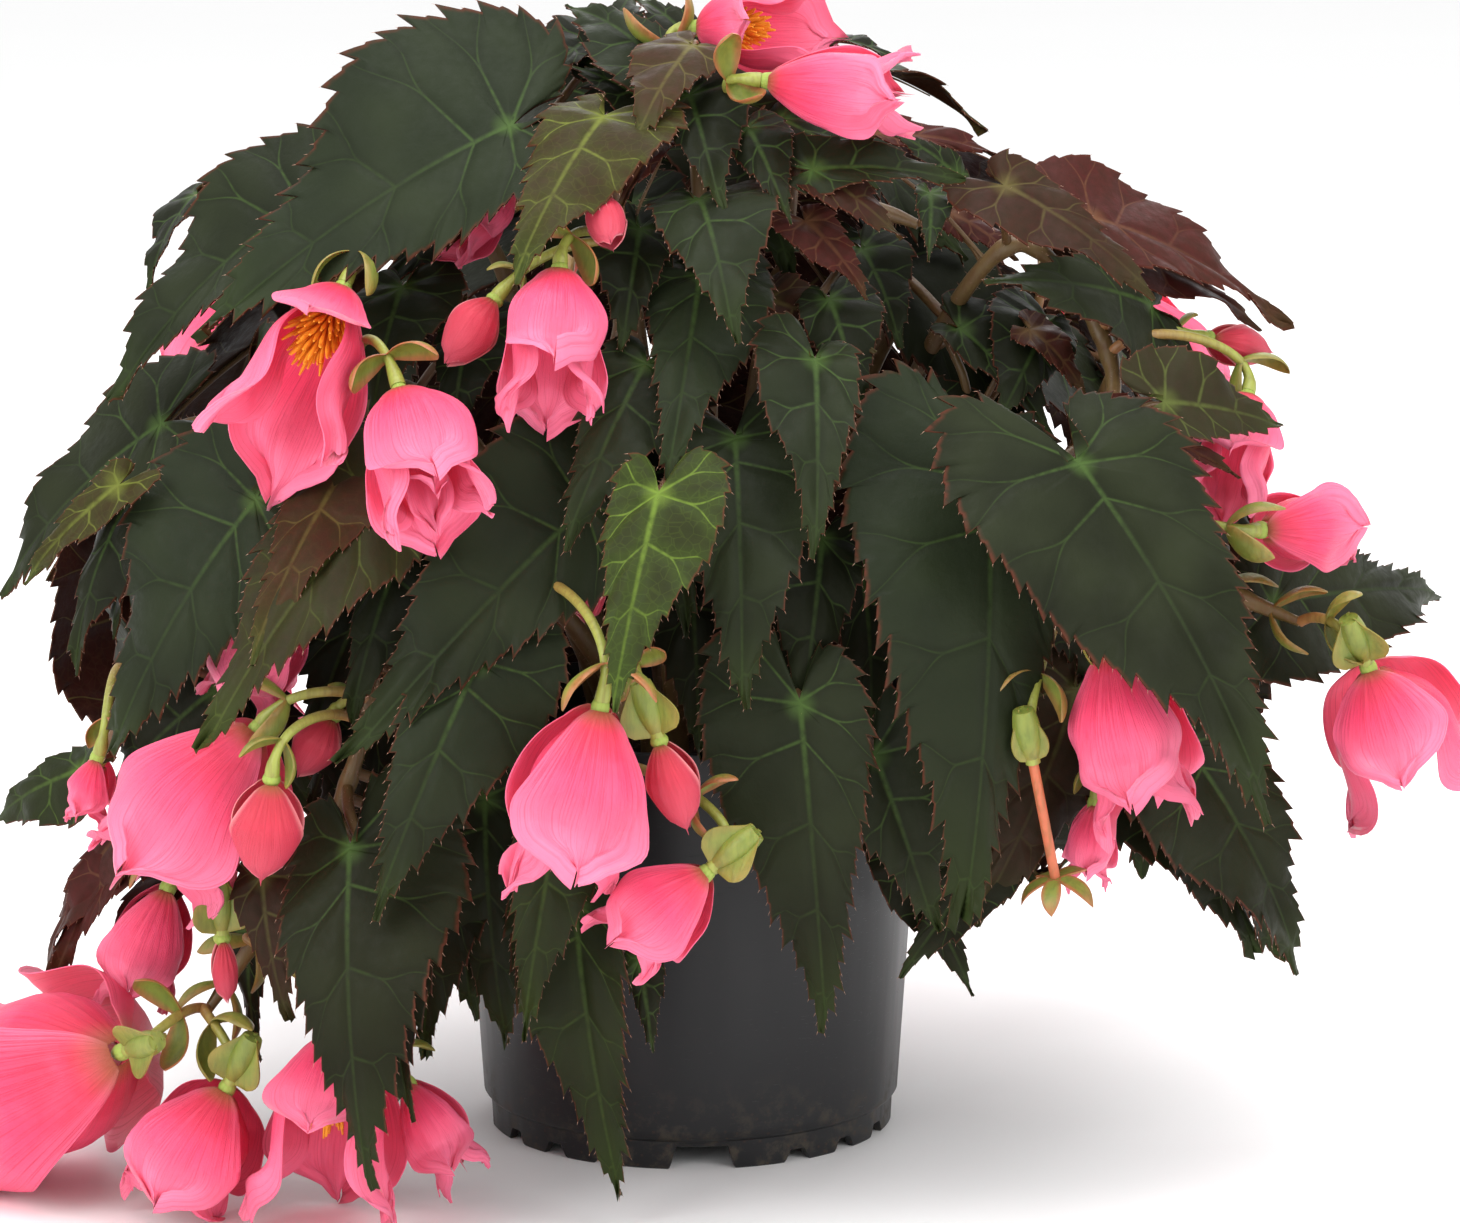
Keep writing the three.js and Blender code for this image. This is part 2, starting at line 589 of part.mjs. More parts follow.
    blooms: [
      { from: [1108, 642, 4], to: [1150, 828, 10], form: "bell", wide: 0.68 },
      { from: [1097, 797, -14], to: [1085, 888, -13], form: "bell", wide: 0.6 },
      { from: [1033, 762, 4], to: [1058, 892, 6], form: "spent", ovary: true },
    ],
  },
  {
    name: "east",
    root: [25, -2],
    leaves: [
      { from: [1006, 187, 12], to: [1157, 299, 18], wide: 0.75, side: -1 },
      { from: [1092, 218, -8], to: [1287, 333, -2], wide: 0.8 },
      { from: [1150, 305, -14], to: [982, 280, 2], wide: 0.9 },
      { from: [1165, 402, 12], to: [1283, 428, 16], wide: 1.1 },
      { from: [1125, 425, -4], to: [1240, 480, 2], wide: 0.5, fold: 24 },
      { from: [1080, 465, 16], to: [1272, 822, 40], wide: 0.95, side: -1 },
      { from: [1274, 602, -28], to: [1440, 594, -24], wide: 0.6, side: -1, fused: true },
    ],
    tail: [[1300, 622, -8]],
    blooms: [
      { from: [1212, 650, 4], to: [1232, 712, 6], form: "bud", wide: 0.9 },
      { from: [1256, 530, 2], to: [1348, 528, 0], form: "bell", wide: 0.6 },
      { from: [1248, 392, -12], to: [1222, 508, -8], form: "bell", wide: 0.7 },
      { from: [1205, 338, -20], to: [1266, 352, -16], form: "bud", wide: 0.6 },
      { from: [1366, 662, 20], to: [1428, 812, 36], form: "open", wide: 0.8, ovary: true },
    ],
  },
  {
    name: "north",
    root: [6, 14],
    leaves: [
      { from: [655, 60, -8], to: [568, 8, -6], wide: 1.1 },
      { from: [813, 170, 6], to: [966, 183, 10], wide: 0.7 },
      { from: [958, 178, -12], to: [884, 128, -6], wide: 0.8 },
      { from: [930, 194, -2], to: [927, 262, 2], wide: 0.7 },
      { from: [806, 222, -10], to: [868, 300, -14], side: -1, aside: true },
    ],
    blooms: [
      { from: [690, 28, 2], to: [835, 30, 10], form: "open", wide: 0.75 },
      { from: [760, 80, 28], to: [912, 98, 34], form: "full", wide: 0.6 },
    ],
  },
];

// The back of the plant: stems in a fan, each with leaves down the dome and a few blooms. The back is
// narrower than the dome towards the top. A bloom is [angle from its stem, height]. The outer stems
// have one more leaf each, which closes the plant's side: [angle, from, to], where an end is
// [height, out of the dome].
const BACK = {
  stems: [34, 72, 108, 148],
  heights: [248, 206, 168, 134],
  squeeze: 0.8,
  skirtTuck: 0.5,
  from: -12,
  to: -6,
  lean: 7,
  leafLong: 74,
  sideLeaf: [26, [200, -30], [112, -50]],
  outerBlooms: [[12, 216], [16, 122]],
  innerBlooms: [[6, 216], [4, 122]],
  bloomOut: 24,
  bloomLong: 46,
};
// The crown: one upright stem with leaves spread over the top, from the right round the back to the left.
const CROWN = {
  root: [-2, 4],
  top: [-2, 12, 262],
  leaves: 5,
  first: -6,
  step: 48,
  heights: [284, 272],
  near: 26,
  reach: 80,
  drop: 22,
};

// A point on the dome at an angle round it (0 = +X, 90 = the back) and a height.
function backSpot(angle, height, out) {
  const rise = height > DOME.centre ? (height - DOME.centre) / DOME.z : 0;
  const sink = height < DOME.centre ? (DOME.centre - height) / DOME.centre : 0;
  const share = Math.sqrt(Math.max(1 - rise ** 2, 0)) * (1 - BACK.skirtTuck * sink);
  const turn = radians(angle);
  const wide = DOME.x * share * (1 - BACK.squeeze * rise ** 2) + out;
  return new THREE.Vector3(wide * Math.cos(turn), (DOME.y * share + out) * Math.sin(turn), height);
}

function backStem(angle, which) {
  const turn = radians(angle);
  const leaves = BACK.heights.map((height, k) => {
    const lean = (k % 2 ? 1 : -1) * (BACK.lean + 2 * draw(10 * which + k));
    const drop = BACK.leafLong * (1 + 0.15 * draw(10 * which + k + 5)) * (k === 0 ? 0.7 : 1);
    const from = backSpot(angle + 0.4 * lean, height, BACK.from);
    const to = backSpot(angle + 1.9 * lean, height - drop, BACK.to);
    return { from, to, side: k % 2 ? 1 : -1, wide: 0.95 };
  });
  const inwards = angle < 90 ? 1 : -1;
  if (which % 3 === 0) {
    const [turned, ...ends] = BACK.sideLeaf;
    const [from, to] = ends.map((end) => backSpot(angle - inwards * turned, ...end));
    leaves.push({ from, to, side: inwards, wide: 1, aside: true });
  }
  const places = which % 3 ? BACK.innerBlooms : BACK.outerBlooms;
  const blooms = places.map(([turned, height], k) => ({
    from: backSpot(angle + inwards * turned, height, BACK.bloomOut),
    to: backSpot(angle + inwards * turned, height - BACK.bloomLong, BACK.bloomOut + 3),
    form: (which + k) % 2 ? "bell" : "full",
    ovary: k === 0,
  }));
  return { name: "back_" + which, root: [22 * Math.cos(turn), 10 + 14 * Math.sin(turn)], leaves, blooms };
}

function crownStem() {
  const leaves = Array.from({ length: CROWN.leaves }, (_, k) => {
    const turn = radians(CROWN.first + CROWN.step * k);
    const out = new THREE.Vector3(Math.cos(turn), 0.8 * Math.sin(turn), 0);
    const middle = new THREE.Vector3(...CROWN.top).setZ(CROWN.heights[k % 2]);
    const from = middle.clone().addScaledVector(out, CROWN.near);
    const to = middle.clone().addScaledVector(out, CROWN.reach + 6 * draw(k + 80)).setZ(middle.z - CROWN.drop);
    return { from, to, side: k % 2 ? 1 : -1, wide: 0.95 };
  });
  const top = new THREE.Vector3(...CROWN.top);
  return { name: "crown", root: CROWN.root, path: [top.clone().setZ(200), top], leaves, blooms: [] };
}

const stems = [...STEMS, ...BACK.stems.map(backStem), crownStem()];

// ---------------------------------------------------------------- pot and soil
function potProfile() {
  const { height, rimRadius, rimHeight, wall, shoulderRadius } = POT;
  const { beltRadius, beltHeight, footRadius, footWall, floorHeight } = POT;
  return [
    [0, floorHeight - wall], [footRadius - footWall, floorHeight - wall], [footRadius - footWall, 0],
    [footRadius, 0], [footRadius + 0.3, beltHeight - 1], [beltRadius, beltHeight],
    [shoulderRadius, height - rimHeight], [rimRadius - 0.4, height - rimHeight + 1], [rimRadius, height],
    [rimRadius - wall, height], [shoulderRadius - wall, height - rimHeight],
    [beltRadius - wall, floorHeight], [0, floorHeight],
  ];
}

function lathe(profile, sides) {
  const geometry = new THREE.LatheGeometry(profile.map(([r, z]) => new THREE.Vector2(r, z)), sides);
  return geometry.rotateX(Math.PI / 2);
}

function pot() {
  let made = solidFrom(lathe(potProfile(), POT.sides));
  for (let quarter = 0; quarter < 4; quarter++)
    NOTCH_OFFSETS.forEach((offset, k) => {
      const [wide, high] = k ? [NOTCH.narrow, NOTCH.narrowHigh] : [NOTCH.wide, NOTCH.wideHigh];
      const shape = new THREE.Shape();
      shape.moveTo(-wide / 2 - 1.6, -1).lineTo(wide / 2 + 1.6, -1);
      shape.lineTo(wide / 2 - 1, high).lineTo(1 - wide / 2, high);
      const cutter = new THREE.ExtrudeGeometry(shape, { depth: 8, bevelEnabled: false });
      cutter.rotateX(Math.PI / 2).rotateZ(-Math.PI / 2);
      cutter.translate(POT.footRadius - 6, 0, 0).rotateZ(radians(NOTCH.firstAngle + 90 * quarter + offset));
      made = made.subtract(solidFrom(cutter));
    });
  for (let k = 0; k < DRAIN.count; k++) {
    const hole = new THREE.CylinderGeometry(DRAIN.radius, DRAIN.radius, 8, DRAIN.sides).rotateX(Math.PI / 2);
    hole.translate(DRAIN.ring, 0, POT.floorHeight).rotateZ((2 * Math.PI * (k + 0.5)) / DRAIN.count);
    made = made.subtract(solidFrom(hole));
  }
  return made;
}

function soilTop(radius) {
  return SOIL.edge + (SOIL.crown - SOIL.edge) * Math.cos((radius / POT.shoulderRadius) * (Math.PI / 2));
}

function soil() {
  const inner = (z) => {
    const share = (z - POT.beltHeight) / (POT.height - POT.rimHeight - POT.beltHeight);
    return POT.beltRadius + share * (POT.shoulderRadius - POT.beltRadius) - POT.wall - GAP;
  };
  const low = POT.floorHeight + GAP;
  const facet = Math.cos(Math.PI / POT.sides); // the pot's flats come nearer the axis than its corners
  const foot = [[0, low], [inner(low) * facet, low]];
  const top = [[inner(SOIL.edge) * facet, SOIL.edge], [34, soilTop(34)], [0, SOIL.crown]];
  const profile = [...foot, ...top];
  let made = solidFrom(lathe(profile, SOIL.sides));
  stems.forEach(({ root }) => {
    const wide = (STEM.foot + GAP) / Math.cos(Math.PI / 6);
    const hole = new THREE.CylinderGeometry(wide, wide, 60, 6).rotateX(Math.PI / 2);
    hole.translate(root[0], root[1], SOIL.crown - STEM.sunk - GAP + 30);
    made = made.subtract(solidFrom(hole));
  });
  return made;
}

// ---------------------------------------------------------------- stems with their leaves
// The stem stands in the soil, rises, and then passes behind each of its leaves in turn.
function stemLine(stem, leaves) {
  const foot = new THREE.Vector3(stem.root[0], stem.root[1], SOIL.crown - STEM.sunk);
  const collar = foot.clone().setZ(SOIL.crown + 6);
  const passed = leaves.filter((_, k) => !stem.leaves[k].aside);
  const behind = ({ root }) => root.clone().addScaledVector(outward(root), -STEM.behindLeaf);
  const knots = stem.path ?? passed.map(behind);
  const evened = knots.map((knot, i) => {
    const [before, after] = [knots[Math.max(i - 1, 0)], knots[Math.min(i + 1, knots.length - 1)]];
    return knot.clone().multiplyScalar(0.5).addScaledVector(before, 0.25).addScaledVector(after, 0.25);
  });
  const rise = collar.clone().lerp(evened[0], 0.5).add(new THREE.Vector3(0, 0, 18));
  const tail = (stem.tail ?? []).map(spot);
  const line = smooth([collar, rise, ...evened, ...tail], 8 * (evened.length + tail.length + 2));
  for (let round = 0; round < STEM.evenings; round++)
    for (let i = 2; i < line.length - 1; i++) line[i].lerp(line[i - 1].clone().lerp(line[i + 1], 0.5), 0.5);
  return [foot, ...line];
}

// How far along the line, above its collar, the nearest place to a point is.
function nearestAlong(line, point) {
  let [far, best, nearest] = [0, Infinity, 0];
  line.slice(1).forEach((end, i) => {
    const step = new THREE.Line3(line[i], end);
    const share = step.closestPointToPointParameter(point, true);
    const distance = step.at(share, new THREE.Vector3()).distanceTo(point);
    if (i > 2 && distance < best) [best, nearest] = [distance, far + share * step.distance()];
    far += step.distance();
  });
  return nearest;
}

// The place and the way of the line, at a distance along it.
function alongLine(line, far) {
  let left = Math.max(far, 0);
  for (let i = 1; i < line.length; i++) {
    const step = line[i].clone().sub(line[i - 1]);
    const long = step.length();
    if (left <= long || i === line.length - 1) {
      const point = line[i - 1].clone().addScaledVector(step, Math.min(left / long, 1));
      return { point, way: step.normalize() };
    }
    left -= long;
  }
}

// Shares out joints along the stem. Each has two rings close together and up to four branches on its faces.
function makeJoints(line, wants) {
  const joints = [];
  wants.forEach((want, index) => {
    const far = nearestAlong(line, want);
    let joint = joints.find((other) => Math.abs(other.far - far) < STEM.jointGap && other.branches.length < 3);
    if (!joint) {
      joint = { far, branches: [] };
      joints.push(joint);
    }
    joint.branches.push(index);
  });
  joints.sort((a, b) => a.far - b.far);
  joints.forEach((joint, i) => {
    if (i) joint.far = Math.max(joint.far, joints[i - 1].far + STEM.jointGap);
  });
  return joints;
}

// The stem as a four-sided tube, with the open branch shells grown from its faces at the joints. A shell that
// finds no free face towards it gets no base, and is left out.
function growStem(line, joints, shells) {
  const total = line.slice(1).reduce((sum, end, i) => sum + end.distanceTo(line[i]), 0);
  const stops = [{ far: 0 }, { far: line[0].distanceTo(line[1]) }];
  joints.forEach((joint) => {
    const from = stops.at(-1).far;
    const to = joint.far - STEM.joint;
    const extra = Math.floor((to - from) / STEM.stride);
    for (let k = 1; k <= extra; k++) stops.push({ far: from + ((to - from) * k) / (extra + 1) });
    stops.push({ far: to, joint }, { far: joint.far + STEM.joint });
  });
  stops.push({ far: Math.max(total, stops.at(-1).far + 2) });
  const points = [];
  const tris = [];
  let over = new THREE.Vector3(0, -1, 0);
  stops.forEach((stop, i) => {
    const { point, way } = alongLine(line, stop.far);
    over = over.clone().addScaledVector(way, -over.dot(way)).normalize();
    const right = way.clone().cross(over);
    const wide = THREE.MathUtils.lerp(STEM.foot, STEM.tip, Math.min(stop.far / 200, 1));
    for (let corner = 0; corner < 4; corner++) {
      const turn = radians(45 + 90 * corner);
      const out = over.clone().multiplyScalar(Math.cos(turn)).addScaledVector(right, Math.sin(turn));
      points.push(point.clone().addScaledVector(out, wide));
    }
    if (i) {
      const before = stops[i - 1];
      const faces = [0, 1, 2, 3].map((face) => [(face + 3) % 4, face].map((corner) => 4 * (i - 1) + corner));
      const taken = (before.joint?.branches ?? []).map((index) => shells[index]).filter(Boolean);
      const middle = alongLine(line, stop.far - STEM.joint).point;
      const free = new Map(faces.map((face, k) => [k, face]));
      taken.forEach((shell) => {
        const centre = shell.ring.reduce((sum, index) => sum.add(shell.points[index]), new THREE.Vector3());
        const to = centre.multiplyScalar(0.25).sub(middle);
        const turned = (k) => (k * Math.PI) / 2;
        const facing = (k) => to.dot(over) * Math.cos(turned(k)) + to.dot(right) * Math.sin(turned(k));
        const best = [...free.keys()].reduce((a, b) => (facing(b) > facing(a) ? b : a));
        if (facing(best) < 0.4 * to.length()) return;
        const [l, r] = free.get(best);
        free.delete(best);
        shell.base = [l + 4, r + 4, r, l];
      });
      free.forEach(([l, r]) => tris.push([l, r, r + 4], [l, r + 4, l + 4]));
    }
  });
  const last = points.length - 4;
  tris.push([3, 2, 1], [3, 1, 0], [last, last + 1, last + 2], [last, last + 2, last + 3]);
  shells.filter((shell) => shell?.base).forEach((shell) => {
    const shift = points.length;
    points.push(...shell.points);
    tris.push(...shell.tris.map((triangle) => triangle.map((index) => index + shift)));
    const ring = shell.ring.map((index) => index + shift);
    const gap = (a, k, turn) => points[a].distanceTo(points[shell.base[(k + turn) % 4]]);
    const span = (turn) => ring.reduce((sum, a, k) => sum + gap(a, k, turn), 0);
    const turn = [0, 1, 2, 3].reduce((a, b) => (span(b) < span(a) ? b : a));
    tris.push(...sleeve(ring, ring.map((_, k) => shell.base[(k + turn) % 4])));
  });
  return solid(points.map((point) => point.toArray()), tris);
}

// A branch closed at its own end, either short of the stem or at a joint inside it.
function closedBranch(shell, joint) {
  const points = shell.points.slice();
  const tris = shell.tris.slice();
  let ends = shell.ring;
  if (joint) {
    const corners = ends.map((index) => points[index]);
    const centre = corners.reduce((sum, corner) => sum.add(corner), new THREE.Vector3()).multiplyScalar(0.25);
    const drawnIn = (corner) => corner.clone().sub(centre).multiplyScalar(0.7).add(joint);
    const next = corners.map((corner) => points.push(drawnIn(corner)) - 1);
    tris.push(...sleeve(ends, next));
    ends = next;
  }
  tris.push([ends[0], ends[1], ends[2]], [ends[0], ends[2], ends[3]]);
  return solid(points.map((point) => point.toArray()), tris);
}

function cross(one, other) {
  return one.intersect(other).volume() > 0.001;
}

// A branch that crosses the stem or another branch is joined by a union.
// The others grow from the stem's faces.
function leafyStem(stem, count) {
  const leaves = stem.leaves.map((row, k) => leafFrame(row, count + k));
  const blooms = stem.blooms.map((row, k) => bloomFrame(row, count + k));
  const line = stemLine(stem, leaves);
  const wants = [
    ...leaves.map((leaf) => leaf.root.clone().addScaledVector(leaf.along, -8).addScaledVector(leaf.face, -6)),
    ...blooms.map((bloom) => bloom.root.clone().addScaledVector(bloom.along, -10)),
  ];
  const joints = makeJoints(line, wants);
  const jointOf = (k) => joints.find(({ branches }) => branches.includes(k));
  const places = wants.map((_, k) => alongLine(line, jointOf(k).far).point);
  const shells = [
    ...leaves.map((leaf, k) => leafShell(leaf, places[k])),
    ...blooms.map((bloom, k) => flowerShell(bloom, places[leaves.length + k])),
  ];
  const closed = shells.map((shell, k) => closedBranch(shell, places[k]));
  const bare = growStem(line, joints, []);
  const growing = shells.map((shell, k) => {
    if (stem.leaves[k]?.fused || cross(closedBranch(shell), bare)) return null;
    return closed.slice(0, k).some((other) => cross(closed[k], other)) ? null : shell;
  });
  const grown = growStem(line, joints, growing);
  const rest = closed.filter((_, k) => !shells[k].base);
  const ovaries = blooms.filter((_, k) => stem.blooms[k].ovary).map(ovary);
  return { whole: join([grown, ...rest, ...ovaries]), blooms };
}

// ---------------------------------------------------------------- the group
const material = (color, roughness) => new THREE.MeshStandardMaterial({ color, roughness, metalness: 0 });
const plastic = material(0x2b2b2e, 0.45);
const peat = material(0x2a1c12, 0.95);
const foliage = material(0x26352a, 0.6);
const pink = material(0xf2607c, 0.5);
const orange = material(0xf29a24, 0.6);

const plant = new THREE.Group();
plant.add(meshOf("pot", pot(), plastic), meshOf("soil", soil(), peat));
let count = 0;
for (const stem of stems) {
  const { whole, blooms } = leafyStem(stem, count);
  plant.add(meshOf("leafy_stem_" + stem.name, mainBody(whole), foliage));
  blooms.forEach((bloom, k) => {
    if (bloom.form === "spent") return;
    const label = `${stem.name}_${k + 1}`;
    plant.add(meshOf(`bloom_${label}`, mainBody(bloomSolid(bloom)), pink));
    if (bloom.form !== "open") return;
    plant.add(meshOf(`stamens_${label}`, mainBody(stamens(bloom)), orange));
  });
  count += stem.leaves.length;
}

export default plant;
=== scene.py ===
# %% [markdown]
# # A potted trailing begonia
# This lesson dresses a plain frame of a flowering pot plant with the leaves, petals and stalks that make it
# look alive. The frame holds the real sizes. Each piece here is built in the frame's own millimetres,
# stands exactly where the frame's solid stands, and then takes that solid's place in the picture.

# %% Load the frame
import math

import bpy
import numpy as np
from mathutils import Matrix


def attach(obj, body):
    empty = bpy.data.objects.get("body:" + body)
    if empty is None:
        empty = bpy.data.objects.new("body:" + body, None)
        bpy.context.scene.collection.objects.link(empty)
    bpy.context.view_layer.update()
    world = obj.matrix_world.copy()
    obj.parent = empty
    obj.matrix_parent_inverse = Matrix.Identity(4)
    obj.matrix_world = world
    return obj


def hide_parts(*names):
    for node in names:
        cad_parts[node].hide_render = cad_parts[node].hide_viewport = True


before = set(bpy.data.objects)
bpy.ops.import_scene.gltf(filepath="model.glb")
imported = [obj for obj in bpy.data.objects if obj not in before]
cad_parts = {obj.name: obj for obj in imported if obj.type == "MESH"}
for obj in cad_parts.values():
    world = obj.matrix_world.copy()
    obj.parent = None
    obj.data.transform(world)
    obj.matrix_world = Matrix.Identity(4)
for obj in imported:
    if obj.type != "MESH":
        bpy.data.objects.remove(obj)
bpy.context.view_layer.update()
print("nodes in the frame:", len(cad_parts))

# %% [markdown]
# ## The view
# The plant was seen from a little above, with a long lens, so that its near and far leaves are almost the
# same size. We set the camera first, because the places of leaves are written below as they are seen:
# across and down in the picture, and then how far they stand out of the dome of foliage.

# %% The camera
MM = 0.001
PICTURE = {"wide": 1460, "high": 1223, "scale": 3.8}  # pixels, and pixels to a millimetre at the pot
VIEW = {"distance": 1400, "look_down": 10.5, "aim": (10.5, 0, 136.5)}
SENSOR = 36

tilt = math.radians(VIEW["look_down"])
ahead = np.array([0, math.cos(tilt), -math.sin(tilt)])
upward = np.array([0, math.sin(tilt), math.cos(tilt)])
eye = np.array(VIEW["aim"]) - VIEW["distance"] * ahead

camera = bpy.data.objects.new("camera", bpy.data.cameras.new("camera"))
bpy.context.scene.collection.objects.link(camera)
camera.data.sensor_width = SENSOR
camera.data.lens = SENSOR * VIEW["distance"] * PICTURE["scale"] / PICTURE["wide"]
camera.location = eye * MM
camera.rotation_euler = (math.pi / 2 - tilt, 0, 0)
bpy.context.scene.camera = camera
print("camera at", [round(float(x), 3) for x in camera.location], "lens", round(camera.data.lens, 1))

# %% [markdown]
# ## Meshes from arrays
# A leaf has thousands of points, so we work them out with numpy, a whole grid at a time, and hand the
# result to Blender in one go. Modelling by hand would give one good leaf, but not 154 different ones.
# Beside its place, a point can carry three numbers for the material to read, such as how far along a leaf
# it is. A sheaf gathers many blades and tubes into one mesh.


# %% A sheaf of surfaces
class Sheaf:
    """Gathers closed surfaces that become one mesh, with vectors for the material to read at each point."""

    def __init__(self, *keys):
        self.points, self.faces, self.kinds, self.count = [], [], [], 0
        self.vectors = {key: [] for key in keys}

    def add(self, points, faces, kinds=0, **vectors):
        points = np.asarray(points, float).reshape(-1, 3)
        self.points.append(points)
        self.faces.extend((np.asarray(face) + self.count).tolist() for face in faces)
        self.kinds.append(np.broadcast_to(kinds, len(faces)))
        for key, rows in self.vectors.items():
            rows.append(np.broadcast_to(np.asarray(vectors[key], float), points.shape))
        self.count += len(points)

    def build(self, name, materials, slot, *nodes, sharp=50):
        mesh = bpy.data.meshes.new(name)
        mesh.from_pydata(np.concatenate(self.points) * MM, [], self.faces)
        for key, rows in self.vectors.items():
            layer = mesh.attributes.new(key, "FLOAT_VECTOR", "POINT")
            layer.data.foreach_set("vector", np.concatenate(rows).astype(np.float32).ravel())
        for material in materials:
            mesh.materials.append(material)
        mesh.polygons.foreach_set("material_index", np.concatenate(self.kinds).astype(np.int32))
        mesh.shade_smooth()
        mesh.set_sharp_from_angle(angle=math.radians(sharp))
        made = bpy.data.objects.new(name, mesh)
        bpy.context.scene.collection.objects.link(made)
        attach(made, "root")
        if nodes:
            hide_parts(*nodes)
        return made


print("a sheaf's parts:", ", ".join(vars(Sheaf("blade"))))

# %% [markdown]
# Leaves and petals are set by directions: the way one runs, the way it faces, and its left. These helpers
# keep such directions at length one, square to each other, and turned as far as we like. No two leaves of a
# plant are alike, so we also need chance, but the plant has to come out the same each time. `draw` gives a
# number that looks random and depends only on the number it is asked with.


# %% Directions and draws
def unit(vector):
    """The vector, or each of many vectors, brought to length one."""
    vector = np.asarray(vector, float)
    return vector / np.maximum(np.linalg.norm(vector, axis=-1, keepdims=True), 1e-9)


def square_to(vector, axis):
    """The direction of a vector, once its part along an axis is taken off."""
    return unit(vector - axis * np.dot(vector, axis))


def turned(vector, axis, angle):
    """A vector turned about an axis by an angle in radians."""
    cosine, sine = np.cos(angle), np.sin(angle)
    return vector * cosine + np.cross(axis, vector) * sine + axis * np.dot(axis, vector) * (1 - cosine)


def draw(number):
    """A repeatable random number from -1 to 1."""
    wave = math.sin(number * 127.1 + 11.7) * 43758.5453
    return 2 * (wave - math.floor(wave)) - 1


print("three draws:", [round(draw(n), 3) for n in range(3)])

# %% [markdown]
# A leaf, a petal and a bract are all thin blades. Each starts as a grid of points on its middle surface. A
# Solidify modifier could thicken it, but we do it ourselves, by moving a copy of the grid to each side and
# closing the rim, so that each side can have a finish of its own. Whatever would sink into the floor is
# eased up, so that it comes to rest on it.


# %% Blades
EASE = {"below": 2.5, "rest": 0.7}  # mm above the floor


def blade_faces(rows, columns):
    """Faces of a closed blade over a grid: the upper ones, the lower ones and the rim."""
    index = np.arange(rows * columns).reshape(rows, columns)
    quads = np.stack([index[:-1, :-1], index[:-1, 1:], index[1:, 1:], index[1:, :-1]], -1).reshape(-1, 4)
    edge = np.concatenate([index[0, :], index[1:, -1], index[-1, -2::-1], index[-2:0:-1, 0]])
    after = np.roll(edge, -1)
    below = rows * columns
    rim = np.stack([after, edge, edge + below, after + below], -1)
    faces = np.concatenate([quads, quads[:, ::-1] + below, rim])
    kinds = np.concatenate([np.zeros(len(quads)), np.ones(len(quads)), np.full(len(rim), 2)])
    return faces, kinds.astype(int)


def grid(along, across):
    """Two grids of numbers, one along a blade and one across it, each as (start, end, how many)."""
    return np.meshgrid(np.linspace(*along), np.linspace(*across), indexing="ij")


def told(*numbers):
    """Three numbers for the material to read at each point."""
    return np.stack(np.broadcast_arrays(*numbers), -1)


def rested(points):
    """Points with those that would sink into the floor eased up to rest on it."""
    high = points[..., 2:]
    reach = EASE["below"] - EASE["rest"]
    eased = EASE["rest"] + reach * np.exp((high - EASE["below"]) / reach)
    return np.concatenate([points[..., :2], np.where(high < EASE["below"], eased, high)], -1)


def add_blade(sheaf, middle, normal, thick, materials=(0, 0, 0), **vectors):
    """Adds a grid of middle points as a blade, with materials for its upper side, lower side and rim."""
    middle = rested(middle)
    normal = np.broadcast_to(normal, middle.shape)
    thick = np.broadcast_to(thick, middle.shape[:2])
    way = np.cross(np.diff(middle, axis=1)[:-1], np.diff(middle, axis=0)[:, :-1])
    if (way * normal[:-1, :-1]).sum() < 0:
        middle, normal, thick = middle[::-1], normal[::-1], thick[::-1]
        vectors = {key: numbers[::-1] for key, numbers in vectors.items()}
    spread = thick[..., None] / 2 * normal
    points = np.concatenate([(middle + spread).reshape(-1, 3), (middle - spread).reshape(-1, 3)])
    both = {key: np.concatenate([numbers.reshape(-1, 3)] * 2) for key, numbers in vectors.items()}
    faces, kinds = blade_faces(*middle.shape[:2])
    sheaf.add(points, faces, np.asarray(materials)[kinds], **both)


print("faces of a blade of 3 by 4 points:", len(blade_faces(3, 4)[0]))

# %% [markdown]
# Stems and stalks are tubes: rings of points carried along a curve without twisting. A curve object with a
# round bevel would look the same, but its thickness is harder to change along the way, and its points can't
# carry our numbers. A hair is a slim pyramid, the least that still catches the light.


# %% Tubes and hairs
def tube_faces(count, sides):
    """Faces of a closed tube of so many rings: its wall and its two ends."""
    index = np.arange(count * sides).reshape(count, sides)
    beside = np.roll(index, -1, axis=1)
    wall = np.stack([index[:-1], beside[:-1], beside[1:], index[1:]], -1).reshape(-1, 4)
    return [*wall, index[0][::-1], index[-1]]


def add_tube(sheaf, path, radii, sides, key=None, tone=0.0):
    """Adds a closed tube along a path, with a radius at each point of it."""
    path = np.asarray(path, float)
    count = len(path)
    ways = unit(np.gradient(path, axis=0))
    over = np.cross(ways[0], [0.3, 1, 0.2])
    angles = np.arange(sides) * 2 * math.pi / sides
    rings = []
    for centre, way, radius in zip(path, ways, np.broadcast_to(radii, count)):
        over = square_to(over, way)
        side = np.cross(way, over)
        rings.append(centre + radius * (np.outer(np.cos(angles), over) + np.outer(np.sin(angles), side)))
    share = np.repeat(np.linspace(0, 1, count), sides)
    around = np.tile(np.arange(sides) / sides, count)
    sheaf.add(rings, tube_faces(count, sides), **({key: told(share, around, tone)} if key else {}))


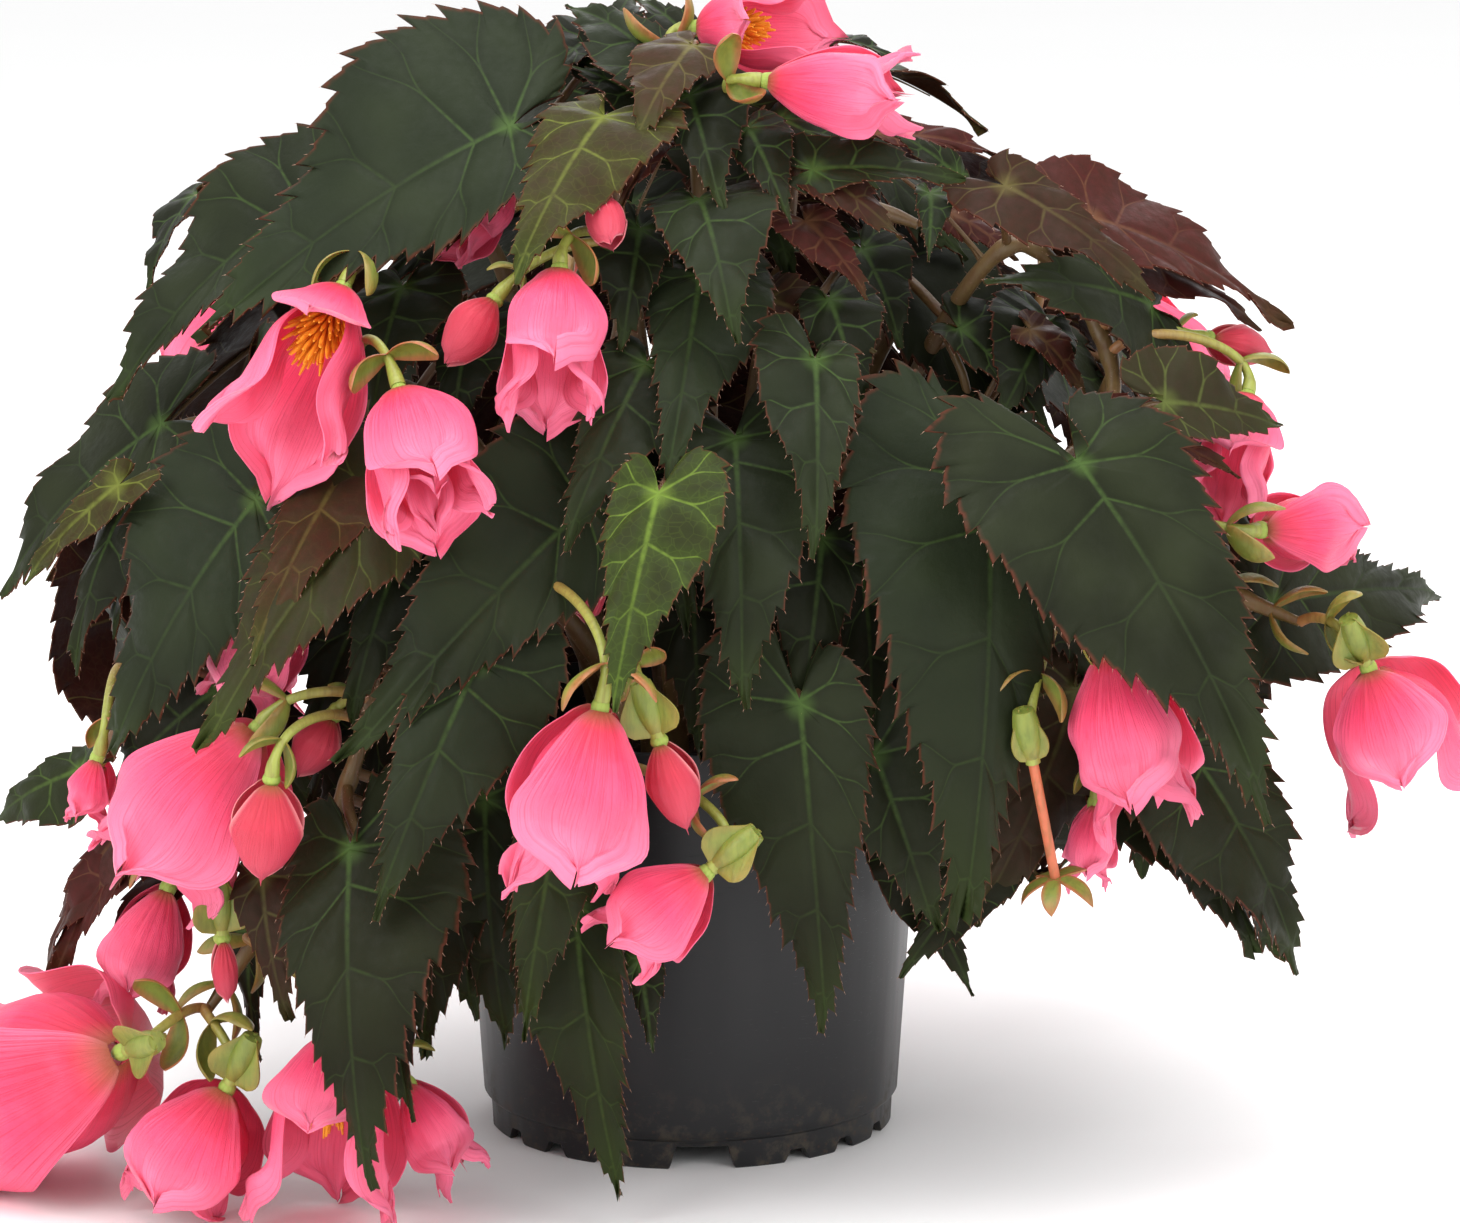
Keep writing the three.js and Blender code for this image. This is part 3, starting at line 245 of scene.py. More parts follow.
def add_bristles(sheaf, roots, ways, length, width, kind, **vectors):
    """Adds a slim three-sided hair at each root, with the same vectors for all of them."""
    ways = unit(ways)
    side = unit(np.cross(ways, [0.37, 0.21, 0.9]))
    other = np.cross(ways, side)
    foot = roots - 0.3 * width * ways
    base = [foot + width * (math.cos(turn) * side + math.sin(turn) * other) for turn in (0, 2.1, 4.2)]
    points = np.stack([*base, roots + length[:, None] * ways], 1)
    start = 4 * np.arange(len(roots))[:, None]
    faces = np.concatenate([start + corner for corner in ([0, 2, 1], [0, 1, 3], [1, 2, 3], [2, 0, 3])])
    sheaf.add(points.reshape(-1, 3), faces, kind, **vectors)


print("faces of a tube of 2 rings of 6:", len(tube_faces(2, 6)))

# %% [markdown]
# ## Finishes from nodes
# Every finish here is worked out by nodes from a point's place and from the numbers it carries, so nothing
# is painted on a picture. A small helper keeps the node code readable: it makes a material with one
# principled shader, and has a method for each kind of node that the finishes use.


# %% A finish helper
def colour(red, green, blue):
    """A colour given as it looks on a screen, from 0 to 255, for a shader."""
    parts = [value / 255 for value in (red, green, blue)]
    return tuple(p / 12.92 if p <= 0.04045 else ((p + 0.055) / 1.055) ** 2.4 for p in parts) + (1.0,)


class Finish:
    """A material with one principled shader, and short ways to add nodes to it."""

    def __init__(self, name, **sockets):
        self.material = bpy.data.materials.new(name)
        self.material.use_nodes = True
        self.nodes, self.links = self.material.node_tree.nodes, self.material.node_tree.links
        self.shader = self.nodes["Principled BSDF"]
        for key, value in sockets.items():
            self.shader.inputs[key.replace("_", " ")].default_value = value

    def put(self, socket, value):
        if isinstance(value, bpy.types.NodeSocket):
            self.links.new(value, socket)
        else:
            socket.default_value = value

    def add(self, kind, output, inputs, **settings):
        node = self.nodes.new(kind)
        for key, value in settings.items():
            setattr(node, key, value)
        for key, value in inputs.items():
            self.put(node.inputs[key], value)
        return node.outputs[output]

    def read(self, name):
        """The three numbers that the points carry under a name."""
        vector = self.add("ShaderNodeAttribute", "Vector", {}, attribute_name=name)
        return vector, *self.apart(vector)

    def apart(self, vector):
        """The three numbers of a vector, each on its own."""
        node = self.nodes.new("ShaderNodeSeparateXYZ")
        self.put(node.inputs[0], vector)
        return node.outputs

    def place(self):
        """The point's place on the object, in metres."""
        return self.add("ShaderNodeTexCoord", "Object", {})

    def sum(self, operation, *values):
        """Works out one operation of arithmetic on numbers."""
        return self.add("ShaderNodeMath", 0, dict(enumerate(values)), operation=operation)

    def times(self, one, other):
        return self.sum("MULTIPLY", one, other)

    def plus(self, one, other):
        return self.sum("ADD", one, other)

    def ramp(self, value, low, high, start=0.0, end=1.0):
        """Goes smoothly from start to end as the value goes from low to high."""
        inputs = {"Value": value, "From Min": low, "From Max": high, "To Min": start, "To Max": end}
        return self.add("ShaderNodeMapRange", "Result", inputs, interpolation_type="SMOOTHSTEP")

    def mix(self, share, one, other):
        node = self.nodes.new("ShaderNodeMix")
        node.data_type = "RGBA"
        self.put(node.inputs["Factor"], share)
        self.put(node.inputs[6], one)
        self.put(node.inputs[7], other)
        return node.outputs[2]

    def scaled(self, vector, factors):
        return self.add("ShaderNodeVectorMath", 0, {0: vector, 1: factors}, operation="MULTIPLY")

    def noise(self, vector, scale, detail=3.0, rough=0.55):
        inputs = {"Vector": vector, "Scale": scale, "Detail": detail, "Roughness": rough}
        return self.add("ShaderNodeTexNoise", "Fac", inputs)

    def cells(self, vector, scale, feature="DISTANCE_TO_EDGE"):
        inputs = {"Vector": vector, "Scale": scale}
        return self.add("ShaderNodeTexVoronoi", "Distance", inputs, feature=feature)

    def relief(self, height, distance, strength=1.0):
        inputs = {"Height": height, "Distance": distance, "Strength": strength}
        self.put(self.shader.inputs["Normal"], self.add("ShaderNodeBump", "Normal", inputs))

    def paint(self, value, socket="Base Color"):
        self.put(self.shader.inputs[socket], value)


print("leaf green in the shader's own numbers:", [round(x, 3) for x in colour(40, 48, 36)[:3]])

# %% [markdown]
# ## Where things grow
# The plant is a dome of foliage round the pot. `spot` turns a place in the picture into a point on that
# dome, and `outward` says which way the dome faces there. These two and the table of stems are the same as
# in the frame's source, so every leaf lands on its solid.

# %% The dome
DOME = {"x": 190, "y": 130, "z": 182, "centre": 122, "skirt_tuck": 0.22}


def dome_depth(x, z):
    rise = max(z - DOME["centre"], 0) / DOME["z"]
    sink = max(DOME["centre"] - z, 0) / DOME["centre"]
    left = max(1 - (x / DOME["x"]) ** 2 - rise**2, 0)
    return DOME["y"] * math.sqrt(left) * (1 - DOME["skirt_tuck"] * sink)


def spot(place):
    """The point seen at (across, down) in the picture, and then so many millimetres out of the dome."""
    if isinstance(place, np.ndarray):
        return place
    across, down, out = place
    reach = PICTURE["scale"] * VIEW["distance"]
    sideways = np.array([(across - PICTURE["wide"] / 2) / reach, 0, 0])
    line = ahead + upward * (PICTURE["high"] / 2 - down) / reach + sideways
    near = DOME["y"]
    for _ in range(8):
        point = eye + line * (-near - eye[1]) / line[1]
        near = (near + dome_depth(point[0], point[2]) + out) / 2
    return point


def outward(point):
    rise = max(point[2] - DOME["centre"], 0) / DOME["z"] ** 2
    return unit([point[0] / DOME["x"] ** 2, point[1] / DOME["y"] ** 2, rise])


print("the dome's front in mm:", spot((730, 600, 0)).round(1))

# %% [markdown]
# The table lists each leafy stem with the place where it stands in the pot, and then what it bears. A leaf
# goes from where its stalk joins it to its tip, and a bloom, which is named by its form, goes from its neck
# to the tip of its longest petal. Both ends are written as across, down and out. After them stand traits:
# how wide it is, which side its larger lobe is on, how it rolls and bends, and whether it is young or red.
# The frame leaves out the small leaves in the shade between the large ones. They belong to the picture,
# since they close the gaps in the foliage, so they are listed here too. A table is easier to read and to
# correct than code, when each row was found one by one.

# %% The table of stems
STEM_TABLE = """
stem  west -24 2
leaf   508  127  10   195  345  22  wide 1.1  side -1  roll 0  bend 30  fold 6
leaf   300  205  -6   112  405   4  side -1
leaf   160  425 -18     0  600  -6  side -1  wide 0.9
leaf   118  486  15    26  584  17  wide 0.5  fold 14  young 0.7  red 0.3
leaf    80  770 -18    -8  826  -8  wide 0.8  young 0.2
open   345  283  18   267  455  32  wide 0.66
bell   100  752   2    84  822   4  wide 0.6
shade  470  212 -24   376  300 -20  wide 0.9
shade  196  196 -22   150  290 -14  wide 0.9  side -1
shade  150  520 -30   112  640 -24  wide 0.9
shade  215  690 -40   100  810 -30  wide 0.8  side -1
shade  590   40 -22   528  104 -16  wide 1.0  side -1
shade  648  104 -20   568   66 -14  wide 1.0
shade  272  552 -34   206  668 -28  wide 1.1
shade  130  500 -22    76  676 -18  wide 0.75
stem  west_front -18 -14
leaf   402  288 -14   372  425  -8  wide 1.1
leaf   255  501   2   108  768  14  side -1  bend 40
leaf   222  600 -34   150  702 -30  wide 1.1
leaf   126  828 -28    43  986 -15  wide 0.6  red 0.8
full   398  385  22   440  525  30  wide 0.8
bell   170  882 -26   128 1003 -19  wide 0.66
shade  370  590 -36   306  762 -30  wide 0.95
shade  200  850 -36   100  985 -28  wide 0.5  red 0.9  side -1
shade  470  330 -30   452  450 -24  wide 1.0
shade  132  848 -26    56  980 -14  wide 0.66  red 0.9  side -1
shade  360  690 -40   310  812 -36  wide 1.0
shade  410  530  -8   350  726  -4  wide 0.85
stem  southwest -10 -20
leaf   345  470  -4   249  666  24  wide 0.7  young 0.5  red 0.6
leaf   380  503   1   203  754  30  side -1  wide 0.8  bend 38  young 0.35  red 0.2
leaf   350  850  10   369 1192  40  wide 0.85
leaf   263  876   0   290 1023   8  wide 0.8  red 0.35
tail   238  965 -12
tail   208 1010  -2
full   292  590 -16   232  705 -12
full   262  722  -4   150  880   8  wide 0.8
bud    272  775  20   262  876  22  wide 0.75
bud    335  712 -18   300  772 -14  wide 0.75
full   128 1050  26   -40 1102  26  wide 0.64  ovary 1
bell   230 1082  14   166 1208  20  wide 0.88  ovary 1
open   338 1026   6   318 1226  20  wide 0.7
bell   404 1078  -9   466 1180  -7  wide 0.6
bud    222  934   4   227  998   6  wide 0.42  ovary 1
shade  400  690 -36   322  872 -30  wide 0.9  side -1
shade  452  850 -30   424 1060 -24  wide 0.7
shade  250  930 -26   262 1062 -20  wide 0.5  side -1
shade  392  900   0   412 1122  14  wide 0.6
shade  462  820 -32   474 1022 -28  wide 0.8
stem  centre_left -3 -26
leaf   603  118  18   512  286  28  wide 0.9  young 0.8  red 0.3
leaf   655  150   0   617  218   4  wide 0.5  fold 24  aside 1  young 0.3  red 1.0
leaf   645  365  -6   563  552   8  wide 0.85
leaf   584  508 -11   341  767  12  wide 0.8  side -1
leaf   478  662   4   372  920  24  wide 0.8
leaf   485  800 -26   509 1051 -22  wide 0.8  side -1
bell   560  264  14   548  420  16  wide 0.72
bud    497  297   6   448  362   8  wide 0.7
bell   514  188 -13   438  248  -4
bud    600  196  14   612  246  16
bell   602  700  20   556  893  22  wide 0.72
bud    592  562 -26   586  622 -24  wide 0.6
stem  centre 5 -25
leaf   700  200   4   735  346  16  wide 1.05  bend 60
leaf   700  276 -16   665  491   8  wide 0.75  aside 1
leaf   735  440  -8   742  712   4  wide 0.9  bend 60
leaf   658  495  16   612  713  26  wide 0.8  aside 1  young 0.8
leaf   562  792  -2   522 1039   8  wide 0.6  young 0.2
leaf   575  905 -12   622 1201   0  wide 0.6  side -1  young 0.15
leaf   640  960 -18   653 1054 -14  wide 0.6
bud    658  737  12   688  827  14  wide 0.6  ovary 1
full   712  868  14   612  950  18  wide 0.8  ovary 1
shade  664  420 -36   690  640 -30  wide 0.9  side -1
shade  690   96   6   722  212  10  wide 1.0
shade  692   46  18   634  146  22  wide 0.9  young 0.4  red 0.5  tone 0  side -1
shade  780  120 -24   880  190 -20  wide 0.9  side -1
shade  632  205 -20   664  312 -14  wide 1.1
shade  640  230 -10   622  352  -4  wide 1.0  side -1
shade  690  560 -44   700  760 -38  wide 1.0
shade  760  560 -50   820  760 -44  wide 1.0  side -1
stem  southeast 13 -22
leaf   768  300 -29   878  352 -20  wide 1.1  side -1  red 0.5
leaf   815  362  -2   815  561  12  wide 0.75  side -1
leaf   800  705  -8   826 1032   2  wide 0.75  side -1
leaf   875  755 -16   935  930 -10
shade  862  250 -44   900  350 -40  wide 1.1
shade  985  850 -26   898  978 -20  wide 0.8
shade  905  868 -34   972  994 -28  wide 0.6  side -1
shade  860  560 -50   870  740 -46  wide 1.0
shade  822  540 -18   800  724 -12  wide 0.9  side -1
shade  830  300 -22   862  420 -16  wide 1.0
stem  east_front 20 -13
leaf  1030  330 -30  1085  395 -26  red 0.7
leaf   988  482   0   961  937  12  wide 0.8  side -1
leaf  1075  692 -32   972  926 -22  wide 0.9  red 0.3
leaf  1185  745 -22  1299  973  -4  wide 1.0  side -1
bell  1108  642   4  1150  828  10  wide 0.68
bell  1097  797 -14  1085  888 -13  wide 0.6
spent 1033  762   4  1058  892   6  ovary 1
shade  960  330 -40  1052  440 -34  wide 0.9
shade 1040  560 -40  1100  700 -34  wide 1.0  side -1
shade 1150  750 -34  1276  960 -20  wide 0.95  side 1
shade 1118  742 -40  1140  880 -34  wide 0.9
shade 1150  770 -30  1256  958 -22  wide 0.8  side -1
shade 1046  322 -36   996  424 -30  wide 1.1  side -1
shade  930  430 -44  1010  560 -40  wide 1.1
stem  east 25 -2
leaf  1006  187  12  1157  299  18  wide 0.75  side -1  red 0.45
leaf  1092  218  -8  1287  333  -2  wide 0.8  red 0.9
leaf  1150  305 -14   982  280   2  wide 0.9
leaf  1165  402  12  1283  428  16  wide 1.1  young 0.2  red 0.2
leaf  1125  425  -4  1240  480   2  wide 0.5  fold 24  young 0.3  red 1.0
leaf  1080  465  16  1272  822  40  wide 0.95  side -1
leaf  1274  602 -28  1440  594 -24  wide 0.6  side -1
tail  1300  622  -8
bud   1212  650   4  1232  712   6  wide 0.9
bell  1256  530   2  1348  528   0  wide 0.6
bell  1248  392 -12  1222  508  -8  wide 0.7
bud   1205  338 -20  1266  352 -16  wide 0.6
open  1366  662  20  1428  812  36  wide 0.8  ovary 1
shade  952  214 -34  1018  262 -30  wide 1.0  red 0.9
shade 1120  256 -20  1262  330 -16  wide 0.6  red 0.9  side -1
shade  880  134 -20  1030  172 -12  wide 0.42  red 0.9
shade 1180  470 -40  1262  560 -36  wide 0.9
shade 1160  600 -40  1226  730 -34  wide 0.9  side -1
stem  north 6 14
leaf   655   60  -8   568    8  -6  wide 1.1
leaf   813  170   6   966  183  10  wide 0.7
leaf   958  178 -12   884  128  -6  wide 0.8
leaf   930  194  -2   927  262   2  wide 0.7
leaf   806  222 -10   868  300 -14  side -1  aside 1  red 0.9
open   690   28   2   835   30  10  wide 0.75
full   760   80  28   912   98  34  wide 0.6
shade  700   52 -14   636   -2 -10  wide 0.9
shade  600   64 -22   634   -8 -18  wide 1.0  side -1
shade  740  150 -30   800  250 -26  wide 1.0  side -1
shade  830   40 -20   900   64 -16  wide 0.8
shade  800  164   2   902  240   6  wide 0.9  red 0.5
shade  748  128   6   790  226  10  wide 0.8
"""
print("rows in the table:", len(STEM_TABLE.split("\n")) - 2)

# %% [markdown]
# A few lines turn the table into dictionaries. The first word of a row says what it is: a stem, a leaf, a
# leaf in the shade, a place that the stem's tail passes, or the form of a bloom.

# %% Read the table
LISTS = {"leaf": "leaves", "shade": "shade"}


def leaf(start, end, **traits):
    return {"from": start, "to": end, **traits}


def bloom(start, end, form, **traits):
    return {"from": start, "to": end, "form": form, **traits}


def bare_stem(name, root, **more):
    return {"name": name, "root": root, "leaves": [], "shade": [], "blooms": [], "tail": [], **more}


def read_stems(rows):
    """The stems of a table as dictionaries, each with its lists of leaves, shade leaves and blooms."""
    stems = []
    for row in rows.strip().splitlines():
        kind, *words = row.split()
        if kind == "stem":
            stems.append(bare_stem(words[0], (float(words[1]), float(words[2]))))
            continue
        start, end = (tuple(map(float, words[k:k + 3])) for k in (0, 3))
        traits = dict(zip(words[6::2], map(float, words[7::2])))
        if kind == "tail":
            stems[-1]["tail"].append(start)
        elif kind in LISTS:
            stems[-1][LISTS[kind]].append(leaf(start, end, **traits))
        else:
            stems[-1]["blooms"].append(bloom(start, end, kind, **traits))
    return stems


stems = read_stems(STEM_TABLE)
print("stems seen from the front:", len(stems))

# %% [markdown]
# The photograph shows one side only. The back gets the same kind of stems by a rule: a fan of four, each
# with four leaves down the dome and two blooms, and a fifth leaf that closes each side. It could mirror the
# front, but then both sides would have the same gaps and the same odd leaves.

# %% The back
BACK = {
    "angles": (34, 72, 108, 148),
    "heights": (248, 206, 168, 134),
    "squeeze": 0.8,
    "skirt_tuck": 0.5,
    "from": -12,
    "to": -6,
    "lean": 7,
    "leaf_long": 74,
    "outer_blooms": ((12, 216), (16, 122)),
    "inner_blooms": ((6, 216), (4, 122)),
    "bloom_out": 24,
    "bloom_long": 46,
    "side_leaf": (26, (200, -30), (112, -50)),  # degrees round, and height and out of its two ends
}


def back_spot(angle, height, out):
    """A point on the dome's back at an angle round it, where 0 is the right and 90 is the back."""
    rise = max(height - DOME["centre"], 0) / DOME["z"]
    sink = max(DOME["centre"] - height, 0) / DOME["centre"]
    share = math.sqrt(max(1 - rise**2, 0)) * (1 - BACK["skirt_tuck"] * sink)
    turn = math.radians(angle)
    wide = DOME["x"] * share * (1 - BACK["squeeze"] * rise**2) + out
    return np.array([wide * math.cos(turn), (DOME["y"] * share + out) * math.sin(turn), height])


def back_stem(which, angle):
    turn = math.radians(angle)
    stem = bare_stem(f"back_{which}", (22 * math.cos(turn), 10 + 14 * math.sin(turn)))
    for k, height in enumerate(BACK["heights"]):
        lean = (1 if k % 2 else -1) * (BACK["lean"] + 2 * draw(10 * which + k))
        drop = BACK["leaf_long"] * (1 + 0.15 * draw(10 * which + k + 5)) * (0.7 if k == 0 else 1)
        start = back_spot(angle + 0.4 * lean, height, BACK["from"])
        end = back_spot(angle + 1.9 * lean, height - drop, BACK["to"])
        young = 0.3 * max(draw(31 * which + k), 0)
        stem["leaves"].append(leaf(start, end, side=1 if k % 2 else -1, wide=0.95, young=young))
    inwards = 1 if angle < 90 else -1
    outer = which in (0, len(BACK["angles"]) - 1)
    if outer:
        turned_by, *ends = BACK["side_leaf"]
        start, end = (back_spot(angle - inwards * turned_by, *place) for place in ends)
        stem["leaves"].append(leaf(start, end, side=inwards, wide=1, aside=True))
    for k, (turned_by, height) in enumerate(BACK["outer_blooms" if outer else "inner_blooms"]):
        there = angle + inwards * turned_by
        start = back_spot(there, height, BACK["bloom_out"])
        end = back_spot(there, height - BACK["bloom_long"], BACK["bloom_out"] + 3)
        stem["blooms"].append(bloom(start, end, "bell" if (which + k) % 2 else "full", ovary=k == 0))
    return stem


print("the back's middle in mm:", back_spot(90, 180, 0).round(1))

# %% [markdown]
# One upright stem spreads its leaves over the crown, like a little umbrella, and a few leaves in the shade
# fill the gaps between them and the dome.

# %% The crown
CROWN = {
    "root": (-2, 4),
    "top": np.array([-2.0, 12, 262]),
    "leaves": 5,
    "first": -6,
    "step": 48,
    "heights": (284, 272),
    "near": 26,
    "reach": 80,
    "drop": 22,
    "low": 200,
}
CROWN_ROW = {"turns": (-24, -70, -118, -160), "heights": (276, 232), "out": (-24, -30)}


def crown_stem():
    low = np.array([*CROWN["top"][:2], CROWN["low"]])
    stem = bare_stem("crown", CROWN["root"], path=[low, CROWN["top"]])
    for k in range(CROWN["leaves"]):
        turn = math.radians(CROWN["first"] + CROWN["step"] * k)
        out = np.array([math.cos(turn), 0.8 * math.sin(turn), 0])
        middle = np.array([*CROWN["top"][:2], CROWN["heights"][k % 2]])
        end = middle + out * (CROWN["reach"] + 6 * draw(k + 80)) - np.array([0, 0, CROWN["drop"]])
        row = leaf(middle + out * CROWN["near"], end, side=1 if k % 2 else -1, wide=0.95, young=0.15)
        stem["leaves"].append(row)
    for k, turn in enumerate(CROWN_ROW["turns"]):
        ends = [back_spot(turn, high, out) for high, out in zip(CROWN_ROW["heights"], CROWN_ROW["out"])]
        stem["shade"].append(leaf(*ends, wide=1.1, side=(-1) ** k))
    return stem


stems += [back_stem(which, angle) for which, angle in enumerate(BACK["angles"])]
stems.append(crown_stem())
print("all stems:", len(stems), "leaves:", sum(len(stem["leaves"]) for stem in stems))

# %% [markdown]
# From the side, a real plant is as closed as from the front. Rows of leaves deep in the shade do that here:
# each row runs down the dome, and its leaves lean to one side and the other by turns.

# %% Rows in the shade
# Where the rows hang round the dome, how far each leaf leans and how high it starts, how far it falls, and
# how far out of the dome its two ends are.
ROW_TURNS = {"back_0": 10, "back_1": 76, "back_2": 104, "back_3": 170, "east": -24, "west": 204}
ROW_PLACES = ((-8, 238), (8, 208), (-13, 180), (3, 152), (-10, 128))
ROW = {"fall": 64, "out": (-44, -54)}

for stem in stems:
    turn = ROW_TURNS.get(stem["name"])
    for k, (lean, high) in enumerate(ROW_PLACES if turn is not None else ()):
        start = back_spot(turn + lean, high, ROW["out"][0])
        end = back_spot(turn + 2 * lean, high - ROW["fall"], ROW["out"][1])
        stem["shade"].append(leaf(start, end, wide=1, side=(-1) ** k))
print("leaves in the shade:", sum(len(stem["shade"]) for stem in stems))

# %% [markdown]
# ## A begonia's leaf
# The leaf is lopsided: one side of its heart-shaped base has a large lobe. Its edge has strong teeth that
# lean towards a long tip, with smaller teeth between them. Its veins fan out from the stalk and then leave
# the midrib in pairs. We lay a grid over it whose columns run the way the veins do, from midrib to edge, so
# the veins can be drawn and raised along the grid. A square grid cut out by a picture of a leaf would leave
# the veins to paint.

# %% The leaf's outline
LEAF = {"thick": 0.45, "bend": 34, "fold": 12, "fan": 0.43, "hub": 0.02, "veins": 7}
TOOTH = {"high": 0.03, "columns": 8, "uneven": 0.5, "small": 0.32, "lean": 0.7}
LARGE_SIDE = [
    (-0.02, 0.03), (-0.2, 0.07), (-0.28, 0.19), (-0.19, 0.32), (0.02, 0.38),
    (0.25, 0.335), (0.47, 0.22), (0.7, 0.11), (0.88, 0.045), (1, 0.02),
]
SMALL_SIDE = [
    (-0.02, -0.03), (-0.13, -0.06), (-0.16, -0.15), (-0.04, -0.235), (0.16, -0.25),
    (0.4, -0.185), (0.66, -0.1), (0.87, -0.038), (1, 0.02),
]
SHARES = np.array([0, 0.1, 0.22, 0.35, 0.48, 0.6, 0.71, 0.81, 0.89, 0.95, 1.0])  # rows from midrib to edge
LAST_COLUMN = 0.997  # just short of the tip, where the two sides would meet


def smooth_line(points, count):
    """So many points along a smooth curve through the given ones."""
    points = np.asarray(points, float)
    padded = np.concatenate([[2 * points[0] - points[1]], points, [2 * points[-1] - points[-2]]])
    place = np.linspace(0, len(points) - 1, count)
    first = np.minimum(place.astype(int), len(points) - 2)
    w = (place - first)[:, None]
    a, b, c, d = (padded[first + k] for k in range(4))
    start, end = (c - a) / 2, (d - b) / 2
    return (2 * b - 2 * c + start + end) * w**3 + (3 * c - 3 * b - 2 * start - end) * w**2 + start * w + b


def smooth_step(value, low, high):
    share = np.clip((value - low) / (high - low), 0, 1)
    return share * share * (3 - 2 * share)


def walked(line):
    """How far along a line each of its points is."""
    return np.concatenate([[0], np.cumsum(np.linalg.norm(np.diff(line, axis=0), axis=1))])


def leaf_margin(side, columns, seed):
    """One side's edge in fractions of the leaf's length, and how its teeth stand out of it."""
    curve = smooth_line(side, 400)
    far = walked(curve)
    share = np.linspace(0, LAST_COLUMN, columns + 1)
    edge = np.stack([np.interp(share * far[-1], far, curve[:, k]) for k in range(2)], -1)
    way = unit(np.gradient(edge, axis=0))
    out = np.stack([-way[:, 1], way[:, 0]], -1) * np.sign(side[3][1])
    step = np.arange(columns + 1)
    big = (step % TOOTH["columns"] / (TOOTH["columns"] - 1)) ** 1.4
    uneven = np.array([1 + TOOTH["uneven"] * draw(seed + k // TOOTH["columns"]) for k in step])
    size = TOOTH["high"] * smooth_step(share, 0.03, 0.2) * (1 - 0.6 * smooth_step(share, 0.85, 1))
    height = size * (big * uneven + TOOTH["small"] * (step % 4) / 3 - 0.35)
    return edge, out * height[:, None] + way * TOOTH["lean"] * np.maximum(height, 0)[:, None]


print("edge points of a large leaf's side:", len(leaf_margin(LARGE_SIDE, 144, 0)[0]))

# %% [markdown]
# The flat leaf is then bent: it arches from stalk to tip, folds a little along its midrib, and waves.
# Modifiers could bend it, but the frame's solids bend by this rule, and the finer leaf has to lie where
# they do.


# %% The leaf in space
def leaf_frame(row, number):
    root, tip = spot(row["from"]), spot(row["to"])
    along = unit(tip - root)
    face = square_to(outward((root + tip) / 2) + np.array([0, -0.12, 0.22]), along)
    face = turned(face, along, math.radians(row.get("roll", 8 * draw(number))))
    arc = math.radians(row.get("bend", LEAF["bend"]))
    length = np.linalg.norm(tip - root) * (arc / 2) / math.sin(arc / 2)
    fold = math.radians(row.get("fold", LEAF["fold"] * draw(number + 50)))
    blade = {"root": root, "along": along, "face": face, "left": np.cross(face, along), "number": number}
    bends = {"arc": arc, "length": length, "fold": fold}
    return {**blade, **bends, "wide": row.get("wide", 1), "side": row.get("side", 1)}


def on_leaf(blade, s, t):
    """The leaf's middle surface at fractions of its length along and across it, and the way it faces."""
    s, t = np.asarray(s, float), np.asarray(t, float)
    arc, length = blade["arc"], blade["length"]
    now = arc / 2 - arc * s
    run, lift = (math.sin(arc / 2) - np.sin(now)) / arc, (np.cos(now) - math.cos(arc / 2)) / arc
    normal = np.cos(now)[..., None] * blade["face"] - np.sin(now)[..., None] * blade["along"]
    across = t * blade["wide"] * blade["side"] * length
    wave = 0.02 * np.sin(9 * s + blade["number"]) * np.minimum(np.abs(t) / 0.2, 1)
    rise = np.abs(across) * math.tan(blade["fold"]) + wave * length
    point = blade["root"] + (run * length)[..., None] * blade["along"]
    point = point + (lift * length)[..., None] * blade["face"]
    return point + across[..., None] * blade["left"] + rise[..., None] * normal, normal


largest = stems[0]["leaves"][0]
print("the largest leaf is", round(leaf_frame(largest, 0)["length"]), "mm long")

# %% [markdown]
# A real leaf isn't smooth. It swells between its veins like a quilt, and its edge has grown too long to lie
# flat, so it ruffles. Both belong in the mesh, where they change the outline and the way light falls. A
# short bristle stands on each tooth.

# %% A whole leaf
QUILT = {"high": 0.8, "reach": 3.5, "from_rib": 3}  # mm
RUFFLES = ((0.02, 3.5, 1, 2.5), (0.022, 1.4, 2, 1.6))  # height, waves, phase, and power towards the edge
BRISTLE = {"longest": 1.3, "width": 0.09}  # mm


